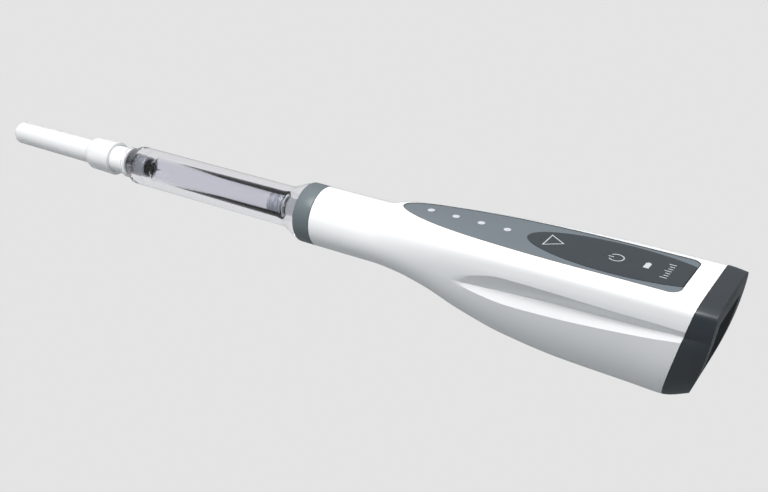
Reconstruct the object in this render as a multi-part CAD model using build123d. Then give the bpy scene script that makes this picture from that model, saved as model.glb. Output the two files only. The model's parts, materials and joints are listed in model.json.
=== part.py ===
from build123d import *
import math
import os

# Cordless dental anaesthetic injector: a capped needle on a clear cartridge holder, a twist-lock collar,
# and a one-piece handpiece that holds a geared motor, a lead screw and a hollow plunger rod.
# Millimetres. +X runs along the needle axis from the needle to the rear cap, +Z is the key side.
# The origin is on the needle axis, at the front face of the housing.

# ---- clearances ----
RUN = 0.10          # radial gap between pieces that move on each other
FIT = 0.05          # gap between pieces that are fixed together
SEAM = 0.15         # visible gap between neighbouring outside pieces

# ---- collar and front socket ----
COLLAR_RADIUS = 9.4
COLLAR_LENGTH = 6.0
COLLAR_BORE_RADIUS = 7.1
COLLAR_SHOULDER = 0.6
COLLAR_EDGE = 0.5
TAIL_RADIUS = 5.8
TAIL_BORE_RADIUS = 4.2
TAIL_LENGTH = 6.6
LUG_RING_RADIUS = 6.4
LUG_HEIGHT = 0.8
LUG_LENGTH = 2.0
LUG_SETBACK = 1.0
LUG_ANGLE = 36.0
TWIST_ANGLE = 60.0
SOCKET_RADIUS = 8.0
SOCKET_WALL = 2.0
BUSH_RADIUS = 4.6

# ---- cartridge and needle ----
GLASS_RADIUS = 4.325
GLASS_BORE_RADIUS = 3.425
CARTRIDGE_LENGTH = 61.8
FERRULE_RADIUS = 3.7
FERRULE_THICKNESS = 0.18
FERRULE_LENGTH = 4.4
DIAPHRAGM_THICKNESS = 1.1
STOPPER_LENGTH = 5.0
STOPPER_INSET = 1.5
HOLDER_RADIUS = 6.4
HOLDER_PLAY = 0.175             # radial gap round the cartridge
HOLDER_BORE_RADIUS = GLASS_RADIUS + HOLDER_PLAY
HOLDER_FRONT_WALL = 1.0
HOLDER_FLARE_LENGTH = 6.0
HOLDER_FLARE_RADIUS = 8.9
PLUG_RADIUS = 7.0
PLUG_LENGTH = 5.2
SEAL_SETBACK = 1.6               # from the collar's front face to the seal's groove
SEAL_WIDTH = 1.3
SEAL_DEPTH = 1.2
NECK_BASE_RADIUS = 5.1
NECK_BASE_LENGTH = 2.0
NECK_RADIUS = 3.5
NECK_LENGTH = 7.1
NECK_BORE_RADIUS = 1.2
HUB_RADIUS = 4.5
HUB_LENGTH = 18.0
HUB_NOSE_RADIUS = 2.4
HUB_NOSE_LENGTH = 6.0
HUB_FLANGE_RADIUS = 4.9
HUB_FLANGE_LENGTH = 0.7
CANNULA_RADIUS = 0.21
CANNULA_FRONT_LENGTH = 32.7     # from the hub's rear face to the bevel's point
CANNULA_REAR_LENGTH = 12.3      # from the hub's rear face to the point inside the cartridge
SHEATH_RADIUS = 4.0
SHEATH_LENGTH = 46.7
SHEATH_WALL = 0.95
SHEATH_SKIRT_RADIUS = 5.65
SHEATH_SKIRT_LENGTH = 9.0
SHEATH_FLARE_LENGTH = 2.0

# ---- drive ----
ROD_TRAVEL = 45.0
ROD_RADIUS = 2.7
ROD_HEAD_RADIUS = 3.2
ROD_HEAD_LENGTH = 1.5
SCREW_RADIUS = 2.0
NUT_RADIUS = 4.4
NUT_LENGTH = 6.0
NUT_KEY_REACH = 5.5
NUT_KEY_WIDTH = 2.6
GUIDE_RADIUS = 5.7
GUIDE_END_WALL = 0.9
BEARING_RADIUS = 4.0
BEARING_LENGTH = 3.0
RACE_INNER = 2.7
RACE_OUTER = 3.4
BALL_COUNT = 9
BLOCK_LENGTH = 4.0
BLOCK_HALF_WIDTH = 6.0
BLOCK_TOP = 5.2
COUPLER_RADIUS = 3.5
COUPLER_LENGTH = 7.0
SHAFT_RADIUS = 1.5
GEARMOTOR_WIDTH = 12.0
GEARMOTOR_HEIGHT = 10.0
GEARHEAD_LENGTH = 9.0
MOTOR_LENGTH = 15.0

# ---- handpiece ----
HOUSING_LENGTH = 118.0
NOSE_LENGTH = 18.0              # round part of the housing, which a stand's ring takes
WALL = 1.8
TOP_INNER = 8.6                 # height of the ceiling under the key panel
HALF_WIDTH = 15.8
TOP_HEIGHT = 11.5
BELLY_DEPTH = 23.2
JOINT_TILT = 12.7               # lean of the joint between housing and rear cap
REAR_TILT = 10.8                # lean of the rear face
CAP_THICKNESS = 5.3
REAR_CROWN_RADIUS = 94.0
CAP_LIP_LENGTH = 3.0
CAP_LIP_WALL = 1.3
RECESS_CORNER = 3.0
RECESS_DRAFT = 8.0              # degrees
RECESS_DEPTH = 1.2
CAP_FLOOR = 1.6

# ---- key panel ----
PANEL_START = 27.5              # from the housing's front face to the panel's tip
PANEL_SETBACK = 5.8             # from the panel's rear edge to the rear joint
PANEL_HALF_WIDTH = 11.0
PANEL_TAPER_LENGTH = 60.0
PANEL_CORNER = 3.0
PANEL_FLOOR = 9.8
PANEL_DROP = 0.15
PAD_LENGTH = 26.2               # half length of the pad's ellipse
PAD_HALF_WIDTH = 9.4
PAD_CENTRE = 19.2               # from the panel's rear edge to the centre of the pad's ellipse
PAD_THICKNESS = 0.5
LED_COUNT = 4
LED_PITCH = 8.0
LED_FIRST = 9.0                 # from the panel's tip
LED_RADIUS = 1.05
KEY_RADIUS = 3.5
KEY_TRAVEL = 0.3
START_KEY_SETBACK = 37.9        # from the panel's rear edge
POWER_KEY_SETBACK = 20.0
GAUGE_SETBACK = 11.7
GAUGE_LENGTH = 1.5
GAUGE_WIDTH = 2.6
BOARD_TOP = 6.9
BOARD_THICKNESS = 1.0
SWITCH_HEIGHT = 1.5
SWITCH_SIZE = 4.5
STEM_RADIUS = 1.0
STEM_HEIGHT = 0.5
LED_HEIGHT = 0.6

# ---- battery and charging ----
CELL_RADIUS = 5.2
CHARGE_BAY = 11.75              # from the battery's rear end to the rear joint
CELL_GAP = 0.4
SPINE_TOP = -5.4
SPINE_THICKNESS = 1.0
SPINE_HALF_WIDTH = 8.8
POST_RADIUS = 1.4
POST_OFFSET = 7.6
SCREW_SHANK = 0.7
SCREW_HEAD = 1.4
SCREW_HEAD_HEIGHT = 0.8
CONTACT_RADIUS = 1.3
CONTACT_PITCH = 4.5
CONTACT_Z = -6.0
CAP_SCREW_RADIUS = 1.0
CAP_SCREW_LENGTH = 12.0
CAP_SCREW_OFFSET = 7.0
CAP_SCREW_HEAD_RADIUS = 1.8
CAP_SCREW_HEAD_LENGTH = 1.1
CAP_SCREW_SINK = 1.8            # depth of the head's seat below the rear recess's floor
CAP_BOSS_RADIUS = 2.9
CAP_BOSS_WALL = 1.5

# ---- places along X ----
HOUSING_FRONT = 0.0
COLLAR_FRONT = HOUSING_FRONT - COLLAR_LENGTH
COLLAR_REAR = HOUSING_FRONT - SEAM
TAIL_END = COLLAR_REAR + TAIL_LENGTH
LUG_END = TAIL_END - LUG_SETBACK
LUG_START = LUG_END - LUG_LENGTH
SOCKET_END = TAIL_END + RUN + SOCKET_WALL + 0.9
PLUG_END = COLLAR_FRONT + PLUG_LENGTH
HOLDER_REAR = COLLAR_FRONT - SEAM
SEAL_FRONT = COLLAR_FRONT + SEAL_SETBACK
CARTRIDGE_REAR = COLLAR_FRONT - 7.5
CARTRIDGE_FRONT = CARTRIDGE_REAR - CARTRIDGE_LENGTH
HOLDER_FRONT = CARTRIDGE_FRONT - HOLDER_FRONT_WALL
NECK_BASE_FRONT = HOLDER_FRONT - NECK_BASE_LENGTH
HUB_REAR = NECK_BASE_FRONT - SEAM
HUB_FRONT = HUB_REAR - HUB_LENGTH
NECK_FRONT = NECK_BASE_FRONT - NECK_LENGTH
SHEATH_REAR = HUB_REAR - 7.2
SHEATH_FRONT = SHEATH_REAR - SHEATH_LENGTH
STOPPER_REAR = CARTRIDGE_REAR - STOPPER_INSET
ROD_TIP = STOPPER_REAR + SEAM
NUT_FRONT = SOCKET_END + GUIDE_END_WALL + ROD_TRAVEL
NUT_REAR = NUT_FRONT + NUT_LENGTH
SCREW_FRONT = SOCKET_END + GUIDE_END_WALL + 0.5
GUIDE_END = NUT_REAR + GUIDE_END_WALL
BLOCK_END = GUIDE_END + BLOCK_LENGTH
BEARING_FRONT = GUIDE_END + (BLOCK_LENGTH - BEARING_LENGTH) / 2
COUPLER_FRONT = BLOCK_END + 1.0
COUPLER_REAR = COUPLER_FRONT + COUPLER_LENGTH
GEARHEAD_FRONT = COUPLER_REAR + 1.0
MOTOR_FRONT = GEARHEAD_FRONT + GEARHEAD_LENGTH
MOTOR_REAR = MOTOR_FRONT + MOTOR_LENGTH
JOINT_TOP = HOUSING_FRONT + HOUSING_LENGTH
PANEL_FRONT = HOUSING_FRONT + PANEL_START
PANEL_REAR = JOINT_TOP - PANEL_SETBACK
START_KEY_X = PANEL_REAR - START_KEY_SETBACK
POWER_KEY_X = PANEL_REAR - POWER_KEY_SETBACK
GAUGE_X = PANEL_REAR - GAUGE_SETBACK
LED_X = [PANEL_FRONT + LED_FIRST + i * LED_PITCH for i in range(LED_COUNT)]
CELL_FRONT = GUIDE_END
CELL_REAR = JOINT_TOP - CHARGE_BAY
CELL_Z = SPINE_TOP - SPINE_THICKNESS - CELL_GAP - CELL_RADIUS
BULKHEAD_FRONT = CELL_REAR + 1.0
BULKHEAD_LENGTH = 1.2
CHARGE_BOARD_REAR = BULKHEAD_FRONT + BULKHEAD_LENGTH + 2.4


# ---- helpers ----
def turned(points):
    """A solid of revolution about X from a closed outline of (x, radius) points."""
    return revolve(Plane.XZ * make_face(Polyline(*points, close=True)), Axis.X)


def tube(x0, x1, outer, inner=0.0):
    """A cylinder or tube along X."""
    body = Plane(origin=(x0, 0, 0), z_dir=(1, 0, 0)) * Cylinder(
        outer, x1 - x0, align=(Align.CENTER, Align.CENTER, Align.MIN)
    )
    return body - tube(x0 - 1, x1 + 1, inner) if inner else body


def block(x0, x1, y0, y1, z0, z1):
    """A box between two corners."""
    return Pos((x0 + x1) / 2, (y0 + y1) / 2, (z0 + z1) / 2) * Box(x1 - x0, y1 - y0, z1 - z0)


def post(x, y, radius, z0, z1):
    """A round post along Z."""
    return Pos(x, y, (z0 + z1) / 2) * Cylinder(radius, z1 - z0)


def sector(x0, x1, radius, start, sweep):
    """A wedge about X, from the angle start (degrees from +Y towards +Z) over sweep, up to 170 degrees."""
    reach = 2 * radius
    rim = [
        (reach * math.cos(math.radians(start + sweep * i / 4)), reach * math.sin(math.radians(start + sweep * i / 4)))
        for i in range(5)
    ]
    outline = make_face(Polyline((0, 0), *rim, close=True))
    plane = Plane(origin=(x0, 0, 0), x_dir=(0, 1, 0), z_dir=(1, 0, 0))
    return extrude(plane * outline, x1 - x0) & tube(x0, x1, radius)


def half_space(x, z, tilt, rearward=True):
    """Everything behind (or ahead of) a plane through (x, z) that leans forward at its foot by tilt degrees."""
    lean = math.radians(tilt)
    side = 1 if rearward else -1
    plane = Plane(origin=(x, 0, z), z_dir=(side * math.cos(lean), 0, -side * math.sin(lean)), x_dir=(0, 1, 0))
    return plane * Box(200, 200, 200, align=(Align.CENTER, Align.CENTER, Align.MIN))


# ---- the handpiece's outer form ----
# Each station: shares of the way from the round nose to the rear joint, to the full half width, to the full
# height and to the full depth; then the height of the widest line, squareness of the upper half (2 is round),
# inward lean of the flanks and fullness of the keel (2 is round).
STATION_SHARES = (
    (0.03, 0.00, 0.02, 0.004, 0.1, 2.0, 0.0, 2.0),
    (0.10, 0.18, 0.74, 0.04, 1.0, 2.3, 0.05, 2.2),
    (0.20, 0.38, 0.95, 0.20, 2.2, 2.7, 0.13, 2.6),
    (0.32, 0.60, 0.98, 0.52, 3.8, 3.3, 0.24, 3.2),
    (0.46, 0.78, 1.00, 0.79, 5.2, 4.0, 0.34, 3.7),
    (0.64, 0.93, 1.00, 0.94, 6.3, 4.6, 0.38, 4.0),
    (0.82, 1.00, 1.00, 0.98, 6.5, 5.0, 0.36, 4.0),
    (0.92, 1.00, 1.00, 1.00, 6.5, 5.0, 0.32, 4.0),
    (1.00, 1.00, 1.00, 0.765, 6.5, 5.0, 0.27, 4.0),
    (1.08, 0.87, 0.76, 0.47, 6.3, 5.0, 0.24, 4.0),
)
BODY_LENGTH = HOUSING_LENGTH - NOSE_LENGTH


def station(along, wide, high, deep, *shape):
    """One station in millimetres: x, half width, top, bottom, then its shape."""
    half_width, top, bottom = (
        COLLAR_RADIUS + share * (full - COLLAR_RADIUS)
        for share, full in ((wide, HALF_WIDTH), (high, TOP_HEIGHT), (deep, BELLY_DEPTH))
    )
    return (NOSE_LENGTH + along * BODY_LENGTH, half_width, top, bottom, *shape)


# The form starts a little inside the nose tube's outline, so the two join on one clean ring.
FORM_START = (NOSE_LENGTH, *3 * [COLLAR_RADIUS - FIT], 0.0, 2.0, 0.0, 2.0)
BODY_STATIONS = [FORM_START, *(station(*shares) for shares in STATION_SHARES)]
SAMPLE_ANGLES = (18, 36, 54, 72)


def section(x, half_width, top, bottom, mid, square, lean, keel):
    """One closed cross-section of the body, as a smooth wire across X."""
    upper = [(half_width, mid)]
    for angle in SAMPLE_ANGLES:
        c, s = math.cos(math.radians(angle)), math.sin(math.radians(angle))
        upper.append((half_width * c ** (2 / square), mid + (top - mid) * s ** (2 / square)))
    lower = []
    for angle in reversed(SAMPLE_ANGLES):
        depth = math.sin(math.radians(angle))
        flank_share = 1 - lean * depth * depth / (depth + 0.1)
        lower.append((half_width * flank_share * math.sqrt(1 - depth**keel), mid - (mid + bottom) * depth))
    right = [*lower, *upper]
    left = [(-y, z) for y, z in reversed(right)]
    loop = [(0, -bottom), *right, (0, top), *left]
    return Wire([Edge.make_spline([Vector(x, y, z) for y, z in loop], periodic=True)])


def body_form(inset=0.0, ceiling=TOP_HEIGHT * 2):
    """The body's form behind its round nose, taken in by inset all round, and no higher than the ceiling."""
    wires = []
    for x, half_width, top, bottom, mid, square, lean, keel in BODY_STATIONS:
        roof = min(top - inset, ceiling)
        wires.append(section(HOUSING_FRONT + x, half_width - inset, roof, bottom - inset, mid, square, lean, keel))
    return Solid.make_loft(wires)


OUTER = body_form()
INNER = body_form(WALL, TOP_INNER)
LIP_INNER = body_form(WALL + CAP_LIP_WALL, TOP_INNER - CAP_LIP_WALL)
AHEAD_OF_JOINT = half_space(JOINT_TOP, TOP_HEIGHT, JOINT_TILT, rearward=False)
BEHIND_JOINT = half_space(JOINT_TOP, TOP_HEIGHT, JOINT_TILT)


# ---- side grooves ----
# Each station: share of the way from the round nose to the rear joint, heights of the groove's upper edge,
# valley and lower edge, the valley's depth below the flank, and the depth of the wall that backs it.
GROOVE_STATIONS = (
    (0.325, -1.5, -1.9, -2.3, 0.05, 1.0),
    (0.38, 1.5, -1.9, -3.5, 0.9, 1.75),
    (0.48, 4.0, -1.4, -4.6, 1.9, 3.2),
    (0.62, 4.3, -0.3, -3.9, 2.1, 3.4),
    (0.80, 4.2, 0.8, -2.0, 1.8, 3.1),
    (0.90, 4.2, 1.5, -0.7, 1.3, 1.75),
    (1.04, 4.2, 2.4, 1.2, 0.3, 0.5),
)


def flank(x, z):
    """Half width of the body at height z, at x from the housing's front face."""
    for low, high in zip(BODY_STATIONS, BODY_STATIONS[1:]):
        if low[0] <= x <= high[0]:
            share = (x - low[0]) / (high[0] - low[0])
            half_width, top, bottom, mid, square, lean, keel = (
                a + share * (b - a) for a, b in zip(low[1:], high[1:])
            )
            if z >= mid:
                return half_width * (1 - ((z - mid) / (top - mid)) ** square) ** (1 / square)
            depth = (mid - z) / (mid + bottom)
            return half_width * (1 - lean * depth * depth / (depth + 0.1)) * math.sqrt(1 - depth**keel)
    raise ValueError(f"{x} is off the body")


def groove(side, backing=False):
    """One side's style groove as a cutter: a V whose upper facet overhangs. With backing, the wall behind it."""
    wedge = None
    for near, far in zip(GROOVE_STATIONS, GROOVE_STATIONS[1:]):
        corners = []
        for along, upper, valley, lower, depth, wall_depth in (near, far):
            x = NOSE_LENGTH + along * BODY_LENGTH
            depth = wall_depth if backing else depth
            root = Vector(HOUSING_FRONT + x, side * (flank(x, valley) - depth), valley)
            top_edge = Vector(HOUSING_FRONT + x, side * flank(x, upper), upper)
            low_edge = Vector(HOUSING_FRONT + x, side * flank(x, lower), lower)
            corners += [root, root + (top_edge - root) * 2, root + (low_edge - root) * 2]
        piece = hull_prism(corners)
        wedge = piece if wedge is None else wedge + piece
    return wedge


def hull_prism(corners):
    """The solid between two triangles, given as six corners, with each side as two triangles."""
    triangles = [(0, 1, 2), (3, 5, 4)]
    for a, b in ((0, 1), (1, 2), (2, 0)):
        triangles += [(a, a + 3, b), (b, a + 3, b + 3)]
    faces = [Face(Wire.make_polygon([corners[i] for i in t])) for t in triangles]
    solid = Solid(Shell(faces))
    return solid if solid.volume > 0 else Solid(solid.wrapped.Reversed())


# ---- key panel outlines ----
def panel_outline(offset=0.0):
    """The leaf-shaped outline of the key panel, taken in by offset."""
    width, rear, tip = PANEL_HALF_WIDTH - offset, PANEL_REAR - offset, PANEL_FRONT + offset
    shoulder = PANEL_FRONT + PANEL_TAPER_LENGTH
    leaf = Pos(shoulder, 0) * Ellipse(shoulder - tip, width)
    leaf = leaf & Pos((tip + shoulder) / 2, 0) * Rectangle(shoulder - tip, 2 * width)
    tail = Pos((shoulder + rear) / 2, 0) * Rectangle(rear - shoulder, 2 * width)
    corners = [v for v in tail.vertices() if v.X > shoulder + 1]
    return leaf + fillet(corners, PANEL_CORNER)


def pad_outline(offset=0.0):
    """The dark key pad: an ellipse cut off by the panel's rear edge."""
    rear = PANEL_REAR - 2 * SEAM - offset
    oval = Pos(PANEL_REAR - PAD_CENTRE, 0) * Ellipse(PAD_LENGTH - offset, PAD_HALF_WIDTH - offset)
    return oval & Pos(rear - 2 * PAD_LENGTH, 0) * Rectangle(4 * PAD_LENGTH, 4 * PAD_HALF_WIDTH)


def column(outline, z0, z1):
    """An outline in the XY plane pulled up from z0 to z1."""
    return extrude(Pos(0, 0, z0) * outline, z1 - z0)


def gauge_block(clearance, z0, z1):
    """The battery gauge's rectangle, grown by a clearance, as a block."""
    half_x, half_y = GAUGE_LENGTH / 2 + clearance, GAUGE_WIDTH / 2 + clearance
    return block(GAUGE_X - half_x, GAUGE_X + half_x, -half_y, half_y, z0, z1)


def lowered(drop):
    """The body's outer form, moved down."""
    return OUTER.moved(Location((0, 0, -drop)))


ABOVE = TOP_HEIGHT + 5
PAD_SEAT = TOP_HEIGHT - PANEL_DROP - PAD_THICKNESS
KEYS = {"start": START_KEY_X, "power": POWER_KEY_X}
BOARD_UNDER = BOARD_TOP - BOARD_THICKNESS
BOARD_FRONT = LED_X[0] - 4.5
BOARD_REAR = PANEL_REAR - 5.0
BOSS_PLACES = [(x, side * POST_OFFSET) for x in (START_KEY_X - 8, BOARD_REAR - 3) for side in (-1, 1)]
CONTACT_PLACES = [-CONTACT_PITCH, 0, CONTACT_PITCH]
CAP_SCREW_PLACES = [-CAP_SCREW_OFFSET, CAP_SCREW_OFFSET]
RECESS_TOP_X = JOINT_TOP + CAP_THICKNESS - RECESS_DEPTH
# Corners of the recess: share of the half width, and share of the top height or, below the axis, of the depth.
RECESS_CORNERS = ((0.73, 0.65), (0.71, -0.13), (0.51, -0.52), (0.30, -0.69))
SPINE_UNDER = SPINE_TOP - SPINE_THICKNESS


def floor_x(z):
    """X of the rear recess's floor at height z."""
    return RECESS_TOP_X - (TOP_HEIGHT - z) * math.tan(math.radians(REAR_TILT))


CAP_SCREW_SEAT = floor_x(0) - CAP_SCREW_SINK


# ---- the handpiece's shell ----
def housing():
    """The one-piece white shell, open at the collar and at the rear cap."""
    nose_end = HOUSING_FRONT + NOSE_LENGTH
    nose = tube(HOUSING_FRONT, nose_end, COLLAR_RADIUS) - tube(HOUSING_FRONT - 1, SOCKET_END, SOCKET_RADIUS)
    nose = nose - tube(SOCKET_END - 1, nose_end + 1, COLLAR_RADIUS - WALL - 2 * FIT)
    hollow = INNER - groove(1, backing=True) - groove(-1, backing=True)
    shell = (OUTER & AHEAD_OF_JOINT) - hollow
    shell = shell - groove(1) - groove(-1)
    shell = shell - column(panel_outline(), PANEL_FLOOR, ABOVE)
    for x, y in BOSS_PLACES:
        shell = shell + (post(x, y, POST_RADIUS, BOARD_TOP + FIT, TOP_INNER + 0.3))
        shell = shell - post(x, y, SCREW_SHANK + FIT, BOARD_TOP - 1, TOP_INNER)
    for x in LED_X:
        shell = shell - post(x, 0, LED_RADIUS + 2 * RUN, TOP_INNER - 1, PANEL_FLOOR + 1)
    for x in KEYS.values():
        shell = shell - post(x, 0, KEY_RADIUS + 2 * RUN, TOP_INNER - 1, PANEL_FLOOR + 1)
    shell = shell - gauge_block(2 * RUN, TOP_INNER - 1, PANEL_FLOOR + 1)
    return shell + nose


def cap_band(start, end, outer, inner):
    """A band between two forms, from start to end ahead of the joint's plane."""
    ahead = half_space(JOINT_TOP - start, TOP_HEIGHT, JOINT_TILT)
    behind = half_space(JOINT_TOP - end, TOP_HEIGHT, JOINT_TILT, rearward=False)
    return (outer & ahead & behind) - inner


def recess():
    """The cutter for the rear recess, whose walls open outwards a little."""
    lean = math.radians(REAR_TILT)
    plane = Plane(origin=(RECESS_TOP_X, 0, TOP_HEIGHT), x_dir=(0, 1, 0), z_dir=(math.cos(lean), 0, -math.sin(lean)))
    corners = []
    for wide, high in RECESS_CORNERS:
        z = high * (TOP_HEIGHT if high > 0 else BELLY_DEPTH)
        corners.append((wide * HALF_WIDTH, (z - TOP_HEIGHT) / math.cos(lean)))
    outline = make_face(Polyline(*corners, *[(-y, z) for y, z in reversed(corners)], close=True))
    return extrude(plane * fillet(outline.vertices(), RECESS_CORNER), 2 * CAP_THICKNESS, taper=-RECESS_DRAFT)


def end_cap():
    """The dark rear cap: a tilted, crowned cover with a lip inside the housing and a recessed rear face."""
    crown_centre_x = JOINT_TOP + CAP_THICKNESS - REAR_CROWN_RADIUS
    crown = Pos(crown_centre_x, 0, TOP_HEIGHT + 2.0) * Rot(90, 0, 0) * Cylinder(REAR_CROWN_RADIUS, 100)
    cap = OUTER & half_space(JOINT_TOP + SEAM, TOP_HEIGHT, JOINT_TILT) & crown
    cap = cap - groove(1) - groove(-1)
    cap = cap - recess()
    lip = cap_band(CAP_LIP_LENGTH, -0.5, body_form(WALL + FIT, TOP_INNER - FIT), LIP_INNER)
    cap = cap + lip
    hollow = LIP_INNER & half_space(RECESS_TOP_X - CAP_FLOOR, TOP_HEIGHT, REAR_TILT, rearward=False)
    cap = cap - (hollow & half_space(JOINT_TOP - CAP_LIP_LENGTH - 1, TOP_HEIGHT, JOINT_TILT))
    for y in CAP_SCREW_PLACES:
        cap = cap + Pos(0, y, 0) * tube(CAP_SCREW_SEAT - CAP_BOSS_WALL, CAP_SCREW_SEAT + RUN, CAP_BOSS_RADIUS)
        cap = cap - Pos(0, y, 0) * tube(JOINT_TOP - 20, JOINT_TOP + 20, CAP_SCREW_RADIUS + RUN)
        cap = cap - Pos(0, y, 0) * tube(CAP_SCREW_SEAT, JOINT_TOP + 20, CAP_SCREW_HEAD_RADIUS + RUN)
    for y in CONTACT_PLACES:
        cap = cap - Pos(0, y, CONTACT_Z) * tube(JOINT_TOP - 20, JOINT_TOP + 20, CONTACT_RADIUS + FIT)
    return cap


def cap_gasket():
    """The soft seal against the front edge of the rear cap's lip."""
    return cap_band(CAP_LIP_LENGTH + 1, CAP_LIP_LENGTH + FIT, body_form(WALL + FIT, TOP_INNER - FIT), LIP_INNER)


def cap_screws():
    """Two screws from the rear recess into the chassis."""
    seat = CAP_SCREW_SEAT + FIT
    screw = tube(seat - CAP_SCREW_LENGTH, seat, CAP_SCREW_RADIUS)
    screw = screw + tube(seat, seat + CAP_SCREW_HEAD_LENGTH, CAP_SCREW_HEAD_RADIUS)
    return Compound(children=[Pos(0, y, 0) * screw for y in CAP_SCREW_PLACES])


def charge_contacts():
    """Three charging pins that end just below the rear recess's floor."""
    end = floor_x(CONTACT_Z - CONTACT_RADIUS) - FIT
    return Compound(
        children=[Pos(0, y, CONTACT_Z) * tube(CHARGE_BOARD_REAR + FIT, end, CONTACT_RADIUS) for y in CONTACT_PLACES]
    )


def charge_board():
    """The small board behind the charging pins."""
    reach = CONTACT_PITCH + CONTACT_RADIUS + 0.8
    return block(
        CHARGE_BOARD_REAR - BOARD_THICKNESS, CHARGE_BOARD_REAR, -reach, reach, CONTACT_Z - 2.6, CONTACT_Z + 2.6
    )


def key_panel():
    """The grey leaf-shaped panel, with openings for the pad, keys, lights and gauge."""
    plate = lowered(PANEL_DROP) & column(panel_outline(SEAM), PANEL_FLOOR + FIT, ABOVE)
    plate = plate - column(pad_outline(), PAD_SEAT, ABOVE)
    for x in LED_X:
        plate = plate - post(x, 0, LED_RADIUS + FIT, PANEL_FLOOR - 1, ABOVE)
    for x in KEYS.values():
        plate = plate - post(x, 0, KEY_RADIUS + RUN, PANEL_FLOOR - 1, ABOVE)
    return plate - gauge_block(FIT, PANEL_FLOOR - 1, ABOVE)


def key_pad():
    """The dark soft pad around the two keys."""
    pad = lowered(FIT) & column(pad_outline(SEAM), PAD_SEAT + FIT, ABOVE)
    for x in KEYS.values():
        pad = pad - post(x, 0, KEY_RADIUS + RUN, PAD_SEAT - 1, ABOVE)
    return pad - gauge_block(FIT, PAD_SEAT - 1, ABOVE)


def led_windows():
    """Four light guides that reach down to the lights on the board."""
    low = BOARD_TOP + LED_HEIGHT + 0.2
    return Compound(children=[lowered(PANEL_DROP - FIT) & post(x, 0, LED_RADIUS, low, ABOVE) for x in LED_X])


def gauge_window():
    """The light guide of the battery gauge."""
    return lowered(FIT / 2) & gauge_block(0, BOARD_TOP + LED_HEIGHT + 0.2, ABOVE)


def key_cap(x):
    """A round key that stands on its switch's stem and comes out flush with the pad."""
    return lowered(FIT) & post(x, 0, KEY_RADIUS, BOARD_TOP + SWITCH_HEIGHT + STEM_HEIGHT + FIT, ABOVE)


# ---- main board ----
def main_board():
    """The control board under the key panel."""
    outline = make_face(
        Polyline(
            (BOARD_FRONT, -4.2), (BOARD_FRONT + 19, -8.4), (BOARD_REAR, -9.4),
            (BOARD_REAR, 9.4), (BOARD_FRONT + 19, 8.4), (BOARD_FRONT, 4.2), close=True,
        )
    )
    board = column(outline, BOARD_UNDER, BOARD_TOP)
    for x, y in BOSS_PLACES:
        board = board - post(x, y, SCREW_SHANK + RUN, BOARD_UNDER - 1, BOARD_TOP + 1)
    return board


def board_screws():
    """Four screws that hold the board to the housing's bosses."""
    screws = []
    for x, y in BOSS_PLACES:
        shank = post(x, y, SCREW_SHANK, BOARD_UNDER - FIT, TOP_INNER - 0.3)
        screws.append(shank + post(x, y, SCREW_HEAD, BOARD_UNDER - FIT - SCREW_HEAD_HEIGHT, BOARD_UNDER - FIT))
    return Compound(children=screws)


def switch_body(x):
    """A tact switch's body with a hole for its stem."""
    half = SWITCH_SIZE / 2
    body = block(x - half, x + half, -half, half, BOARD_TOP + FIT, BOARD_TOP + SWITCH_HEIGHT)
    return body - post(x, 0, STEM_RADIUS + RUN, BOARD_TOP + SWITCH_HEIGHT - 0.9, BOARD_TOP + SWITCH_HEIGHT + 1)


def switch_stem(x):
    """The stem that a key presses into its switch."""
    top = BOARD_TOP + SWITCH_HEIGHT + STEM_HEIGHT
    return post(x, 0, STEM_RADIUS, top - 1.0, top)


def status_leds():
    """The four status lights and the gauge's light on the board."""
    lights = [
        block(x - 0.8, x + 0.8, -0.5, 0.5, BOARD_TOP + FIT, BOARD_TOP + LED_HEIGHT) for x in (*LED_X, GAUGE_X)
    ]
    return Compound(children=lights)


# ---- collar and socket ----
def lock_ring():
    """The grey twist collar, with a tail that turns in the housing's socket."""
    edge = COLLAR_EDGE
    return turned(
        (
            (COLLAR_FRONT, COLLAR_BORE_RADIUS), (COLLAR_FRONT, COLLAR_RADIUS - edge),
            (COLLAR_FRONT + edge, COLLAR_RADIUS), (COLLAR_REAR, COLLAR_RADIUS), (COLLAR_REAR, TAIL_RADIUS),
            (TAIL_END, TAIL_RADIUS), (TAIL_END, TAIL_BORE_RADIUS),
            (COLLAR_REAR - COLLAR_SHOULDER, TAIL_BORE_RADIUS),
            (COLLAR_REAR - COLLAR_SHOULDER, COLLAR_BORE_RADIUS),
        )
    )


def lug_ring():
    """The ring with two lugs, pressed on the collar's tail, that stops its turn."""
    ring = tube(LUG_START, LUG_END, LUG_RING_RADIUS)
    for start in (0, 180):
        ring = ring + sector(LUG_START, LUG_END, LUG_RING_RADIUS + LUG_HEIGHT, start, LUG_ANGLE)
    return ring - tube(LUG_START - 1, LUG_END + 1, TAIL_RADIUS + FIT)


def socket_cup():
    """The insert in the housing's nose that the collar's lugs turn in, with slots that are the stops."""
    cup = tube(LUG_START - RUN, SOCKET_END, SOCKET_RADIUS - FIT)
    cup = cup - tube(LUG_START - 1, LUG_END + RUN, LUG_RING_RADIUS + RUN)
    cup = cup - tube(LUG_START - 1, TAIL_END + RUN, TAIL_RADIUS + RUN)
    reach = LUG_RING_RADIUS + LUG_HEIGHT + RUN
    for start in (0, 180):
        cup = cup - sector(LUG_START - 1, LUG_END + RUN, reach, start - 1, LUG_ANGLE + TWIST_ANGLE + 2)
    return cup - tube(LUG_START, SOCKET_END + 1, BUSH_RADIUS + FIT)


def retainer_plate():
    """The ring in front of the lugs that keeps the collar in the socket."""
    return tube(HOUSING_FRONT + SEAM, LUG_START - RUN - FIT, SOCKET_RADIUS - FIT, TAIL_RADIUS + RUN)


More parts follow.
